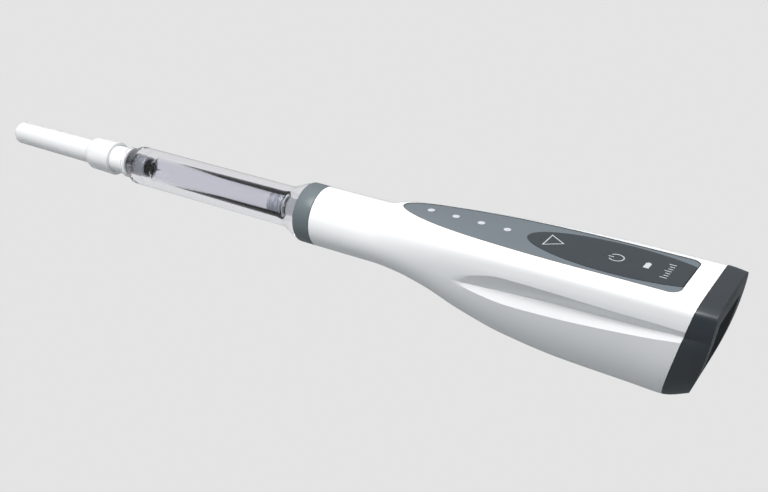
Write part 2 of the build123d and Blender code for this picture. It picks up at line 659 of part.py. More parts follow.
def rod_bush():
    """The bush that guides the plunger rod where it leaves the drive."""
    return tube(TAIL_END + 2 * RUN, SOCKET_END, BUSH_RADIUS, ROD_RADIUS + RUN)


# ---- cartridge, holder and needle ----
def cartridge_holder():
    """The clear barrel: needle thread at the front, flare and plug at the rear."""
    flare_front = HOLDER_REAR - HOLDER_FLARE_LENGTH
    barrel = turned(
        (
            (HOLDER_FRONT, 0), (HOLDER_FRONT, HOLDER_RADIUS - 1.2), (HOLDER_FRONT + 1.2, HOLDER_RADIUS),
            (flare_front, HOLDER_RADIUS), (flare_front + 0.55 * HOLDER_FLARE_LENGTH, HOLDER_RADIUS + 0.7),
            (HOLDER_REAR - 0.8, HOLDER_FLARE_RADIUS - 0.4), (HOLDER_REAR, HOLDER_FLARE_RADIUS),
            (HOLDER_REAR, PLUG_RADIUS), (PLUG_END, PLUG_RADIUS), (PLUG_END, 0),
        )
    )
    barrel = barrel + tube(NECK_BASE_FRONT, HOLDER_FRONT, NECK_BASE_RADIUS)
    barrel = barrel + tube(NECK_FRONT, NECK_BASE_FRONT, NECK_RADIUS)
    barrel = barrel - tube(NECK_FRONT - 1, PLUG_END + 1, NECK_BORE_RADIUS)
    barrel = barrel - tube(CARTRIDGE_FRONT - FIT, PLUG_END + 1, HOLDER_BORE_RADIUS)
    return barrel - tube(SEAL_FRONT, SEAL_FRONT + SEAL_WIDTH, PLUG_RADIUS + 1, PLUG_RADIUS - SEAL_DEPTH)


def holder_seal():
    """The O-ring that grips the holder's plug in the collar."""
    middle = SEAL_FRONT + SEAL_WIDTH / 2
    radius = SEAL_DEPTH / 2 - 0.02
    return Pos(middle, 0, 0) * Rot(0, 90, 0) * Torus(PLUG_RADIUS - SEAL_DEPTH / 2, radius)


def glass_cartridge():
    """The glass tube with its narrow neck."""
    lip = CARTRIDGE_FRONT + FERRULE_THICKNESS + DIAPHRAGM_THICKNESS
    return turned(
        (
            (lip, 1.7), (lip, 3.4), (lip + 2.3, 3.4), (lip + 2.8, 2.75), (lip + 4.9, 2.75),
            (lip + 7.7, GLASS_RADIUS), (CARTRIDGE_REAR, GLASS_RADIUS), (CARTRIDGE_REAR, GLASS_BORE_RADIUS),
            (lip + 8.4, GLASS_BORE_RADIUS), (lip + 5.4, 1.7),
        )
    )


def cartridge_ferrule():
    """The crimped aluminium cap that holds the diaphragm on the glass."""
    rear = CARTRIDGE_FRONT + FERRULE_LENGTH
    inner = FERRULE_RADIUS - FERRULE_THICKNESS
    return turned(
        (
            (CARTRIDGE_FRONT, 1.6), (CARTRIDGE_FRONT, FERRULE_RADIUS), (rear, FERRULE_RADIUS), (rear, 3.0),
            (rear - FERRULE_THICKNESS, 3.0), (rear - FERRULE_THICKNESS, inner),
            (CARTRIDGE_FRONT + FERRULE_THICKNESS, inner), (CARTRIDGE_FRONT + FERRULE_THICKNESS, 1.6),
        )
    )


def cartridge_diaphragm():
    """The rubber disc that the needle goes through."""
    front = CARTRIDGE_FRONT + FERRULE_THICKNESS + 0.02
    return tube(front, front + DIAPHRAGM_THICKNESS - 0.04, 3.4, CANNULA_RADIUS + FIT)


def cartridge_stopper():
    """The ribbed rubber stopper that the plunger rod pushes."""
    front = STOPPER_REAR - STOPPER_LENGTH
    ribbed = tube(front, STOPPER_REAR, GLASS_BORE_RADIUS - FIT)
    for i in range(3):
        start = front + (i + 0.65) * STOPPER_LENGTH / 3.4
        ribbed = ribbed - tube(start, start + 0.5, GLASS_RADIUS, GLASS_BORE_RADIUS - 0.4)
    return ribbed


def needle_hub():
    """The white plastic hub that goes over the holder's neck, with a narrow nose."""
    nose_rear = HUB_FRONT + HUB_NOSE_LENGTH
    hub = tube(nose_rear, HUB_REAR, HUB_RADIUS) + tube(HUB_FRONT, nose_rear, HUB_NOSE_RADIUS)
    hub = hub + tube(HUB_REAR - HUB_FLANGE_LENGTH, HUB_REAR, HUB_FLANGE_RADIUS)
    hub = hub - tube(NECK_FRONT - SEAM, HUB_REAR + 1, NECK_RADIUS + RUN)
    return hub - tube(HUB_FRONT - 1, HUB_REAR, CANNULA_RADIUS + FIT)


def needle_cannula():
    """The double-ended steel needle with a bevelled point at each end."""
    needle = tube(HUB_REAR - CANNULA_FRONT_LENGTH, HUB_REAR + CANNULA_REAR_LENGTH, CANNULA_RADIUS, 0.12)
    point = half_space(HUB_REAR - CANNULA_FRONT_LENGTH, -CANNULA_RADIUS, -65)
    rear_point = half_space(HUB_REAR + CANNULA_REAR_LENGTH, -CANNULA_RADIUS, 65, rearward=False)
    return needle & point & rear_point


def needle_sheath():
    """The translucent cap over the needle, with a wider skirt that grips the hub."""
    skirt_front = SHEATH_REAR - SHEATH_SKIRT_LENGTH
    flare_front = skirt_front - SHEATH_FLARE_LENGTH
    bore = SHEATH_RADIUS - SHEATH_WALL
    mouth = SHEATH_SKIRT_RADIUS - SHEATH_WALL
    return turned(
        (
            (SHEATH_FRONT, 0), (SHEATH_FRONT, SHEATH_RADIUS - 0.7), (SHEATH_FRONT + 0.6, SHEATH_RADIUS - 0.1),
            (flare_front, SHEATH_RADIUS + 0.1), (skirt_front, SHEATH_SKIRT_RADIUS),
            (SHEATH_REAR, SHEATH_SKIRT_RADIUS), (SHEATH_REAR, mouth), (skirt_front + 0.4, mouth),
            (flare_front + 0.4, bore), (SHEATH_FRONT + 1.2, bore), (SHEATH_FRONT + 1.2, 0),
        )
    )


# ---- drive ----
def push_rod():
    """The hollow plunger rod that draws back over the lead screw."""
    front = ROD_TIP + ROD_HEAD_LENGTH + FIT
    return tube(front, NUT_FRONT + 2, ROD_RADIUS) - tube(front + 2, NUT_FRONT + 3, SCREW_RADIUS + 2 * RUN)


def rod_head():
    """The rounded cone on the rod's front end that meets the stopper."""
    middle = ROD_TIP + ROD_HEAD_LENGTH / 2
    return turned(
        ((ROD_TIP, 0), (ROD_TIP, 2.2), (middle, ROD_HEAD_RADIUS), (ROD_TIP + ROD_HEAD_LENGTH, ROD_HEAD_RADIUS),
         (ROD_TIP + ROD_HEAD_LENGTH, 0))
    )


def drive_nut():
    """The nut on the rod's rear end, with a key that keeps it from turning."""
    nut = tube(NUT_FRONT, NUT_REAR, NUT_RADIUS)
    half = NUT_KEY_WIDTH / 2
    nut = nut + block(NUT_FRONT, NUT_REAR, -half, half, -NUT_KEY_REACH, 0)
    nut = nut - tube(NUT_FRONT - 1, NUT_REAR + 1, SCREW_RADIUS + RUN)
    return nut - tube(NUT_FRONT - 1, NUT_FRONT + 2 + FIT, ROD_RADIUS + FIT)


def screw_guide():
    """The tube that the nut slides in, slotted below for the nut's key."""
    guide = tube(SOCKET_END + FIT, GUIDE_END, GUIDE_RADIUS)
    guide = guide - tube(SOCKET_END + GUIDE_END_WALL - RUN, GUIDE_END - GUIDE_END_WALL + RUN, NUT_RADIUS + RUN)
    half = NUT_KEY_WIDTH / 2 + RUN
    guide = guide - block(SOCKET_END + GUIDE_END_WALL - RUN, GUIDE_END - GUIDE_END_WALL + RUN, -half, half, -9, 0)
    guide = guide - tube(SOCKET_END - 1, SOCKET_END + 2, ROD_RADIUS + 2 * RUN)
    return guide - tube(GUIDE_END - 2, GUIDE_END + 1, SCREW_RADIUS + 2 * RUN)


def lead_screw():
    """The lead screw, as a plain rod at its outside diameter."""
    return tube(SCREW_FRONT, COUPLER_FRONT + COUPLER_LENGTH / 2 - FIT, SCREW_RADIUS)


def bearing_outer_race():
    """The outer race of the screw's ball bearing."""
    return tube(BEARING_FRONT, BEARING_FRONT + BEARING_LENGTH, BEARING_RADIUS, RACE_OUTER)


def bearing_inner_race():
    """The inner race, which turns with the screw."""
    return tube(BEARING_FRONT, BEARING_FRONT + BEARING_LENGTH, RACE_INNER, SCREW_RADIUS + FIT)


def bearing_balls():
    """The balls between the two races."""
    pitch = (RACE_INNER + RACE_OUTER) / 2
    ball = (RACE_OUTER - RACE_INNER) / 2 - 0.02
    middle = BEARING_FRONT + BEARING_LENGTH / 2
    balls = []
    for i in range(BALL_COUNT):
        angle = 2 * math.pi * i / BALL_COUNT
        balls.append(Pos(middle, pitch * math.cos(angle), pitch * math.sin(angle)) * Sphere(ball))
    return Compound(children=balls)


def chassis():
    """The moulded frame: bearing block, floor, motor wall and rear wall in one piece."""
    rear = BULKHEAD_FRONT + BULKHEAD_LENGTH
    frame = block(GUIDE_END + FIT, rear, -SPINE_HALF_WIDTH, SPINE_HALF_WIDTH, SPINE_UNDER, SPINE_TOP)
    frame = frame + block(GUIDE_END + FIT, BLOCK_END, -BLOCK_HALF_WIDTH, BLOCK_HALF_WIDTH, SPINE_UNDER, BLOCK_TOP)
    frame = frame + block(
        COUPLER_REAR + SEAM, GEARHEAD_FRONT - FIT, -BLOCK_HALF_WIDTH, BLOCK_HALF_WIDTH, SPINE_UNDER, BLOCK_TOP
    )
    frame = frame + block(BULKHEAD_FRONT, rear, -SPINE_HALF_WIDTH, SPINE_HALF_WIDTH, SPINE_UNDER, 3.0)
    frame = frame + block(BULKHEAD_FRONT, rear, -5.5, 5.5, CELL_Z - 3, SPINE_UNDER)
    frame = frame - tube(GUIDE_END - 1, BLOCK_END + 1, SCREW_RADIUS + 3 * RUN)
    frame = frame - tube(BEARING_FRONT - FIT, BEARING_FRONT + BEARING_LENGTH + FIT, BEARING_RADIUS + FIT)
    frame = frame - tube(COUPLER_REAR - 1, GEARHEAD_FRONT + 1, SHAFT_RADIUS + 3 * RUN)
    for y in CAP_SCREW_PLACES:
        frame = frame - Pos(0, y, 0) * tube(BULKHEAD_FRONT - 1, rear + 1, CAP_SCREW_RADIUS + FIT)
    return frame


def shaft_coupler():
    """The sleeve that joins the gearhead's shaft to the screw."""
    middle = COUPLER_FRONT + COUPLER_LENGTH / 2
    sleeve = tube(COUPLER_FRONT, COUPLER_REAR, COUPLER_RADIUS) - tube(COUPLER_FRONT - 1, middle, SCREW_RADIUS + FIT)
    return sleeve - tube(middle - 1, COUPLER_REAR + 1, SHAFT_RADIUS + FIT)


def gearhead():
    """The gearhead's case, a flat-sided box with a shaft hole."""
    case = block(
        GEARHEAD_FRONT, MOTOR_FRONT - FIT, -GEARMOTOR_WIDTH / 2, GEARMOTOR_WIDTH / 2,
        -GEARMOTOR_HEIGHT / 2, GEARMOTOR_HEIGHT / 2,
    )
    return case - tube(GEARHEAD_FRONT - 1, GEARHEAD_FRONT + 5, SHAFT_RADIUS + RUN)


def output_shaft():
    """The gearhead's output shaft."""
    return tube(COUPLER_FRONT + COUPLER_LENGTH / 2 + FIT, GEARHEAD_FRONT + 4, SHAFT_RADIUS)


def drive_motor():
    """The motor's can: a round can with two flats, and its rear bearing boss."""
    can = tube(MOTOR_FRONT, MOTOR_REAR, GEARMOTOR_WIDTH / 2)
    half = GEARMOTOR_HEIGHT / 2
    can = can & block(MOTOR_FRONT, MOTOR_REAR, -20, 20, -half, half)
    return can + tube(MOTOR_REAR, MOTOR_REAR + 1.0, 2.0)


def home_sensor():
    """The switch beside the guide that tells when the rod is fully back."""
    return block(NUT_FRONT, NUT_FRONT + 4, GUIDE_RADIUS + FIT, GUIDE_RADIUS + 2.6, -2, 2)


# ---- battery ----
def battery_cell():
    """The rechargeable cell under the motor, with its raised pole."""
    cell = tube(CELL_FRONT, CELL_REAR - 1.0, CELL_RADIUS) + tube(CELL_REAR - 1.0, CELL_REAR, 2.6)
    return Pos(0, 0, CELL_Z) * cell


def cell_terminals():
    """The spring plates at the cell's two ends."""
    plates = []
    for x in (CELL_FRONT - FIT - 0.4, CELL_REAR + FIT):
        plates.append(block(x, x + 0.4, -4, 4, CELL_Z - 3.5, CELL_Z + 3.5))
    return Compound(children=plates)


NODES = {
    "needle_sheath": needle_sheath(),
    "needle_hub": needle_hub(),
    "needle_cannula": needle_cannula(),
    "cartridge_holder": cartridge_holder(),
    "holder_seal": holder_seal(),
    "glass_cartridge": glass_cartridge(),
    "cartridge_ferrule": cartridge_ferrule(),
    "cartridge_diaphragm": cartridge_diaphragm(),
    "cartridge_stopper": cartridge_stopper(),
    "lock_ring": lock_ring(),
    "lug_ring": lug_ring(),
    "retainer_plate": retainer_plate(),
    "socket_cup": socket_cup(),
    "rod_bush": rod_bush(),
    "push_rod": push_rod(),
    "rod_head": rod_head(),
    "drive_nut": drive_nut(),
    "screw_guide": screw_guide(),
    "lead_screw": lead_screw(),
    "bearing_outer_race": bearing_outer_race(),
    "bearing_inner_race": bearing_inner_race(),
    "bearing_balls": bearing_balls(),
    "chassis": chassis(),
    "shaft_coupler": shaft_coupler(),
    "output_shaft": output_shaft(),
    "gearhead": gearhead(),
    "drive_motor": drive_motor(),
    "home_sensor": home_sensor(),
    "battery_cell": battery_cell(),
    "cell_terminals": cell_terminals(),
    "main_board": main_board(),
    "board_screws": board_screws(),
    "status_leds": status_leds(),
    "start_switch": switch_body(START_KEY_X),
    "power_switch": switch_body(POWER_KEY_X),
    "start_stem": switch_stem(START_KEY_X),
    "power_stem": switch_stem(POWER_KEY_X),
    "start_key": key_cap(START_KEY_X),
    "power_key": key_cap(POWER_KEY_X),
    "led_windows": led_windows(),
    "gauge_window": gauge_window(),
    "key_panel": key_panel(),
    "key_pad": key_pad(),
    "housing": housing(),
    "end_cap": end_cap(),
    "cap_gasket": cap_gasket(),
    "cap_screws": cap_screws(),
    "charge_board": charge_board(),
    "charge_contacts": charge_contacts(),
}

os.makedirs("parts", exist_ok=True)
for name, shape in NODES.items():
    export_step(shape, f"parts/{name}.step")
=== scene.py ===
"""A cordless dental injector: white handpiece, grey key panel, dark rear cap, clear cartridge holder, capped needle."""

import json
import math

import bmesh
import bpy
from mathutils import Matrix, Vector


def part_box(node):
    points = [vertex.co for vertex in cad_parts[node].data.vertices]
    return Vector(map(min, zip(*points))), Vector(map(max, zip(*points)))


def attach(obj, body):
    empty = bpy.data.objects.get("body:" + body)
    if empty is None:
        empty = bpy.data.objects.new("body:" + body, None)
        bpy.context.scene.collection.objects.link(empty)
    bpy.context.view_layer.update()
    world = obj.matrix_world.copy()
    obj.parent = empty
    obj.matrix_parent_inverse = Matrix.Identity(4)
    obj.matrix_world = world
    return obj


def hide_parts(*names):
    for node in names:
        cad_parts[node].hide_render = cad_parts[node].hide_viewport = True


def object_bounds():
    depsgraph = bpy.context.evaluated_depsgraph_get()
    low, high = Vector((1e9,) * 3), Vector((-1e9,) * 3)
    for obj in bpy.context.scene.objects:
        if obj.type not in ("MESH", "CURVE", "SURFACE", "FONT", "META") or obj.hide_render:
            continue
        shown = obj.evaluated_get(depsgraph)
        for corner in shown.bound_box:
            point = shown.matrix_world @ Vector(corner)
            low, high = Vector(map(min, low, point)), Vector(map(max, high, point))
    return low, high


MM = 0.001

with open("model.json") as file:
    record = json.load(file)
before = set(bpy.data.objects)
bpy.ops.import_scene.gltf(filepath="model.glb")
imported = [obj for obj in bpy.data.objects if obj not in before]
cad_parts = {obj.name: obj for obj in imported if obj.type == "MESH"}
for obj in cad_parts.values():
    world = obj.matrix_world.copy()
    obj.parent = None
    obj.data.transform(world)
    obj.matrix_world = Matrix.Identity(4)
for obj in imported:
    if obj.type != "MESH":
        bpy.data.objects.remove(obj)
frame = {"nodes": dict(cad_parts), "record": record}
CAD_LOW, CAD_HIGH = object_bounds()


def span(node, axis=0):
    """Lowest and highest place of a CAD node along one axis, in millimetres."""
    low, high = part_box(node)
    return low[axis] / MM, high[axis] / MM


# ---- camera, floor and light ----
CAMERA_PLACE = Vector((166.4, -249.3, 134.2)) * MM
CAMERA_RIGHT = Vector((0.85696, 0.51465, 0.02744))
CAMERA_UP = Vector((-0.2442, 0.35858, 0.90101))
FLOOR_DEPTH = 0.12


def make_camera():
    """A 50 mm lens above the handpiece, on the side of its near flank."""
    camera = bpy.data.objects.new("camera", bpy.data.cameras.new("camera"))
    camera.data.lens = 50.0
    camera.data.sensor_width = 36.0
    camera.data.clip_start = 0.01
    camera.data.clip_end = 20.0
    back = CAMERA_RIGHT.cross(CAMERA_UP)
    turn = Matrix((CAMERA_RIGHT, CAMERA_UP, back)).transposed().to_4x4()
    camera.matrix_world = Matrix.Translation(CAMERA_PLACE) @ turn
    bpy.context.scene.collection.objects.link(camera)
    bpy.context.scene.camera = camera


def linear(code, alpha=1.0):
    """A colour for a shader from its sRGB hex code."""
    parts = [int(code[i : i + 2], 16) / 255 for i in (0, 2, 4)]
    return tuple(c / 12.92 if c <= 0.04045 else ((c + 0.055) / 1.055) ** 2.4 for c in parts) + (alpha,)


def add(tree, kind, inputs=None, **settings):
    """Adds a node with its settings, and with each input set or linked."""
    made = tree.nodes.new(kind)
    for name, value in settings.items():
        setattr(made, name, value)
    for name, value in (inputs or {}).items():
        if isinstance(value, bpy.types.NodeSocket):
            tree.links.new(value, made.inputs[name])
        else:
            made.inputs[name].default_value = value
    return made


BACKDROP = linear("E4E4E4")


def looked_at(tree):
    """1 where the eye looks, straight or through clear plastic; 0 for light and reflections."""
    ray = add(tree, "ShaderNodeLightPath")
    rays = {0: ray.outputs["Is Camera Ray"], 1: ray.outputs["Is Transmission Ray"]}
    return add(tree, "ShaderNodeMath", rays, operation="MAXIMUM").outputs[0]


def make_world():
    """An even backdrop to the eye; for lighting, a soft sky that is brighter overhead."""
    world = bpy.data.worlds.new("studio")
    world.use_nodes = True
    tree = world.node_tree
    tree.nodes.clear()
    place = add(tree, "ShaderNodeTexCoord")
    height = add(tree, "ShaderNodeSeparateXYZ", {"Vector": place.outputs["Generated"]})
    sky = add(tree, "ShaderNodeMapRange", {"Value": height.outputs["Z"], "From Min": -0.2, "From Max": 1.0})
    ramp = add(tree, "ShaderNodeValToRGB", {"Fac": sky.outputs["Result"]})
    ramp.color_ramp.elements[0].color = (0.36, 0.365, 0.37, 1)
    ramp.color_ramp.elements[1].color = (0.46, 0.46, 0.46, 1)
    light = add(tree, "ShaderNodeBackground", {"Color": ramp.outputs["Color"], "Strength": 1.0})
    seen = add(tree, "ShaderNodeBackground", {"Color": BACKDROP, "Strength": 1.0})
    mix = add(tree, "ShaderNodeMixShader", {0: looked_at(tree), 1: light.outputs[0], 2: seen.outputs[0]})
    add(tree, "ShaderNodeOutputWorld", {"Surface": mix.outputs[0]})
    bpy.context.scene.world = world


def make_floor():
    """A wide pale floor well below the handpiece, lit evenly."""
    bm = bmesh.new()
    bmesh.ops.create_grid(bm, x_segments=1, y_segments=1, size=6.0)
    bmesh.ops.translate(bm, verts=bm.verts, vec=(0, 0, CAD_LOW.z - FLOOR_DEPTH))
    mesh = bpy.data.meshes.new("floor")
    bm.to_mesh(mesh)
    bm.free()
    floor = bpy.data.objects.new("floor", mesh)
    bpy.context.scene.collection.objects.link(floor)
    paper = bpy.data.materials.new("matt_paper_floor")
    paper.use_nodes = True
    tree = paper.node_tree
    tree.nodes.clear()
    seen = add(tree, "ShaderNodeEmission", {"Color": BACKDROP, "Strength": 1.0})
    matt = add(tree, "ShaderNodeBsdfDiffuse", {"Color": linear("939799")})
    mix = add(tree, "ShaderNodeMixShader", {0: looked_at(tree), 1: matt.outputs[0], 2: seen.outputs[0]})
    add(tree, "ShaderNodeOutputMaterial", {"Surface": mix.outputs[0]})
    mesh.materials.append(paper)


def area_light(name, place, size, power):
    """A soft box in metres and watts, aimed at the origin."""
    lamp = bpy.data.lights.new(name, "AREA")
    lamp.shape = "RECTANGLE"
    lamp.size, lamp.size_y = size
    lamp.energy = power
    light = bpy.data.objects.new(name, lamp)
    light.location = place
    light.rotation_mode = "QUATERNION"
    light.rotation_quaternion = (-Vector(place)).to_track_quat("-Z", "Y")
    bpy.context.scene.collection.objects.link(light)


def make_lights():
    """A soft box high on the viewer's side, and a second one overhead."""
    area_light("high_front", (-0.06, -0.36, 0.69), (0.4, 0.3), 6.2)
    area_light("overhead", (0.0, 0.12, 0.75), (1.1, 0.7), 1.6)


# ---- materials ----
def object_place(tree, size_mm):
    """Object coordinates in which one unit of a pattern is size_mm millimetres."""
    place = add(tree, "ShaderNodeTexCoord").outputs["Object"]
    return add(tree, "ShaderNodeMapping", {"Vector": place, "Scale": (1 / (size_mm * MM),) * 3}).outputs[0]


def grained(tree, size_mm, height_mm):
    """A bump for a moulded or ground surface, with grains of the given size and height."""
    noise = add(tree, "ShaderNodeTexNoise", {"Vector": object_place(tree, size_mm), "Scale": 1.0, "Detail": 3.0})
    bump = {"Height": noise.outputs["Fac"], "Distance": height_mm * MM, "Strength": 1.0}
    return add(tree, "ShaderNodeBump", bump).outputs[0]


def varied(tree, size_mm, low, high):
    """A value that drifts slowly between low and high over the surface, as handling leaves it."""
    noise = add(tree, "ShaderNodeTexNoise", {"Vector": object_place(tree, size_mm), "Scale": 1.0, "Detail": 2.0})
    spread = {"Value": noise.outputs["Fac"], "From Min": 0.3, "From Max": 0.7, "To Min": low, "To Max": high}
    return add(tree, "ShaderNodeMapRange", spread).outputs[0]


def material(name, colour, grain=None, roughness=None, **sockets):
    """A Principled material; grain is (size, height) in mm, roughness is (size in mm, low, high)."""
    made = bpy.data.materials.new(name)
    made.use_nodes = True
    tree = made.node_tree
    tree.nodes.clear()
    inputs = {"Base Color": linear(colour)}
    for key, value in sockets.items():
        inputs[key.replace("_", " ")] = value
    if roughness:
        inputs["Roughness"] = varied(tree, *roughness)
    if grain:
        inputs["Normal"] = grained(tree, *grain)
    shader = add(tree, "ShaderNodeBsdfPrincipled", inputs)
    add(tree, "ShaderNodeOutputMaterial", {"Surface": shader.outputs[0]})
    return made


def make_materials():
    """Each finish of the handpiece, by the name of the record's slot.

    The moulding grain of the satin plastics is really about 0.05 mm; it is drawn coarser so that it shows.
    """
    return {
        # High-gloss ABS from a polished mould: clear highlights with a faint orange peel.
        "white_gloss_shell": material(
            "gloss_white_abs", "F4F5F6", (3.0, 0.006), (25, 0.16, 0.24), IOR=1.5, Coat_Weight=0.4, Coat_Roughness=0.06
        ),
        # ABS from a spark-eroded mould: an even satin grey that spreads highlights.
        "grey_panel_plastic": material("satin_grey_abs", "677076", (0.35, 0.012), (12, 0.42, 0.52), IOR=1.5),
        # The same satin ABS in a slightly greener grey.
        "grey_collar_plastic": material("satin_grey_collar_abs", "646E72", (0.35, 0.012), (12, 0.34, 0.44), IOR=1.5),
        # Moulded silicone: matt and a little sheeny.
        "key_pad_silicone": material(
            "matt_silicone", "2D343A", (0.3, 0.015), (10, 0.5, 0.62), IOR=1.43, Sheen_Weight=0.08
        ),
        # ABS in near-black grey, from the same kind of mould.
        "dark_cap_plastic": material("satin_dark_abs", "2D3339", (0.35, 0.015), (12, 0.36, 0.48), IOR=1.5),
        # Milky acrylic: lit areas look soft, since light enters it.
        "led_window_plastic": material("milky_acrylic", "C6C9CE", (0.6, 0.004), (6, 0.25, 0.35), IOR=1.49),
        # Clear moulded polycarbonate with a polished skin.
        "clear_polycarbonate": material(
            "clear_polycarbonate", "F4F4F8", (4.0, 0.004), None, Roughness=0.02, IOR=1.2, Transmission_Weight=1.0
        ),
        # Drawn borosilicate tube: bright, smooth and almost colourless.
        "cartridge_glass": material(
            "borosilicate_glass", "F5F5F8", (6.0, 0.002), None, Roughness=0.01, IOR=1.16, Transmission_Weight=1.0
        ),
        # Soft aluminium sheet, crimped by rollers: bright, with slight waves.
        "cartridge_aluminium": material("crimped_aluminium", "9A9DA1", (0.5, 0.01), (3, 0.2, 0.4), Metallic=1.0),
        # Siliconised butyl rubber: pale, smooth, with a soft sheen.
        "stopper_rubber": material("grey_butyl_rubber", "B4B8BC", (0.4, 0.02), (4, 0.45, 0.6), IOR=1.5),
        # Moulded nitrile rubber: near black and matt. It also stands for blackened screws, and for the painted shade in
        # the gap round the panel.
        "seal_rubber": material("black_nitrile_rubber", "1D1F21", (0.4, 0.01), (4, 0.5, 0.65), IOR=1.5),
        # Translucent polypropylene: milky, with the needle showing faintly.
        "sheath_polypropylene": material(
            "translucent_polypropylene", "FAFBFC", (1.5, 0.002), (8, 0.22, 0.32), IOR=1.45, Alpha=0.72
        ),
        # Moulded polypropylene: white and slightly waxy.
        "hub_polypropylene": material("white_polypropylene", "F2F3F4", (1.2, 0.006), (8, 0.28, 0.38), IOR=1.49),
        # Drawn and passivated stainless tube: darker than ground steel, smooth.
        "needle_steel": material("drawn_stainless_steel", "8E9194", (0.3, 0.004), (3, 0.2, 0.3), Metallic=1.0),
        # Ground stainless steel: bright, with a fine even scratch.
        "bright_steel": material("ground_steel", "C7CACC", (0.25, 0.004), (3, 0.15, 0.28), Metallic=1.0),
        # Natural acetal, moulded: off-white and slick.
        "rod_head_plastic": material("natural_acetal", "D9DCDD", (0.8, 0.006), (5, 0.3, 0.42), IOR=1.48),
        # Turned brass: yellow, with soft highlights.
        "inner_brass": material("turned_brass", "B8A15A", (0.25, 0.006), (4, 0.22, 0.35), Metallic=1.0),
        # Turned aluminium: pale grey, with soft highlights.
        "inner_aluminium": material("turned_aluminium", "B5B9BC", (0.25, 0.006), (4, 0.25, 0.38), Metallic=1.0),
        # Glass-filled nylon: black and dull, as its fibres roughen the skin.
        "inner_black_plastic": material("glass_filled_nylon", "222426", (0.3, 0.015), (6, 0.5, 0.65), IOR=1.53),
        # Deep-drawn, nickel-plated steel: grey and fairly bright.
        "motor_can_steel": material("plated_pressed_steel", "A9ADB0", (0.6, 0.006), (5, 0.22, 0.35), Metallic=1.0),
        # Bright nickel plate on brass: warm and shiny.
        "inner_nickel": material("nickel_plate", "D1CFC6", (0.4, 0.004), (3, 0.15, 0.25), Metallic=1.0),
        # Heat-shrunk PVC sleeve: blue, glossy and slightly rippled.
        "battery_wrap": material("shrink_sleeve", "2E5E7A", (2.0, 0.01), (6, 0.25, 0.4), IOR=1.5),
        # Solder mask on glass laminate: dark green with a soft gloss.
        "board_laminate": material("solder_masked_laminate", "1F5A3A", (0.5, 0.006), (5, 0.3, 0.45), IOR=1.55),
        # Pad printing on silicone: a thin light-grey ink.
        "printed_ink": material("pad_printed_ink", "C0C4C6", (0.3, 0.003), (4, 0.4, 0.5), IOR=1.5),
    }


SLOT_OF = {part["node"]: part["material_slot"] for part in frame["record"]["subparts"]}
BODY_OF = {node: body for body, nodes in frame["record"]["behaviour"]["bodies"].items() for node in nodes}


# ---- making pieces ----
def piece(bm, name, finish, node, replaces=True, sharp=30):
    """Makes a finished piece of a bmesh: shaded, painted, and riding with its CAD node's body."""
    mesh = bpy.data.meshes.new(name)
    bm.to_mesh(mesh)
    bm.free()
    mesh.shade_smooth()
    mesh.set_sharp_from_angle(angle=math.radians(sharp))
    mesh.materials.append(finish)
    made = bpy.data.objects.new(name, mesh)
    bpy.context.scene.collection.objects.link(made)
    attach(made, BODY_OF[node])
    if replaces:
        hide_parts(node)
    return made


def spun(profile, edge=0.0, steps=96, segments=2, closed=True):
    """A solid of revolution about X from an outline of (x, radius) in millimetres, with its edges rounded."""
    bm = bmesh.new()
    verts = [bm.verts.new((x * MM, 0, r * MM)) for x, r in profile]
    edges = [bm.edges.new((a, b)) for a, b in zip(verts, verts[1:])]
    if closed:
        edges.append(bm.edges.new((verts[-1], verts[0])))
    bmesh.ops.spin(
        bm, geom=[*verts, *edges], cent=(0, 0, 0), axis=(1, 0, 0), angle=2 * math.pi, steps=steps, use_merge=True
    )
    bmesh.ops.remove_doubles(bm, verts=bm.verts, dist=1e-7)
    bmesh.ops.dissolve_degenerate(bm, dist=1e-8, edges=bm.edges)
    bmesh.ops.recalc_face_normals(bm, faces=bm.faces)
    if edge:
        corners = [e for e in bm.edges if e.is_manifold and e.calc_face_angle() > math.radians(24)]
        bmesh.ops.bevel(
            bm, geom=corners, affect="EDGES", offset=edge * MM, offset_type="OFFSET", segments=segments,
            profile=0.5, material=-1, clamp_overlap=True,
        )
    return bm


def combined(bm, cutter, operation):
    """The first bmesh united with, cut by or kept inside the second. Both are used up."""
    objects = []
    for part in (bm, cutter):
        mesh = bpy.data.meshes.new("work")
        part.to_mesh(mesh)
        part.free()
        made = bpy.data.objects.new("work", mesh)
        bpy.context.scene.collection.objects.link(made)
        objects.append(made)
    target, tool = objects
    change = target.modifiers.new("change", "BOOLEAN")
    change.object = tool
    change.operation = operation
    change.solver = "EXACT"
    bpy.context.view_layer.update()
    result = bmesh.new()
    result.from_object(target, bpy.context.evaluated_depsgraph_get())
    for made in objects:
        mesh = made.data
        bpy.data.objects.remove(made)
        bpy.data.meshes.remove(mesh)
    bmesh.ops.remove_doubles(result, verts=result.verts, dist=1e-7)
    return result


def joined(parts):
    """Several separate bmeshes as one."""
    whole = bmesh.new()
    for bm in parts:
        mesh = bpy.data.meshes.new("work")
        bm.to_mesh(mesh)
        bm.free()
        whole.from_mesh(mesh)
        bpy.data.meshes.remove(mesh)
    return whole


# ---- the handpiece's form ----
# All in millimetres, or plain ratios.
NOSE = span("lock_ring", 2)[1]
HALF_WIDTH = 15.8
TOP = 11.5
BELLY = 23.2
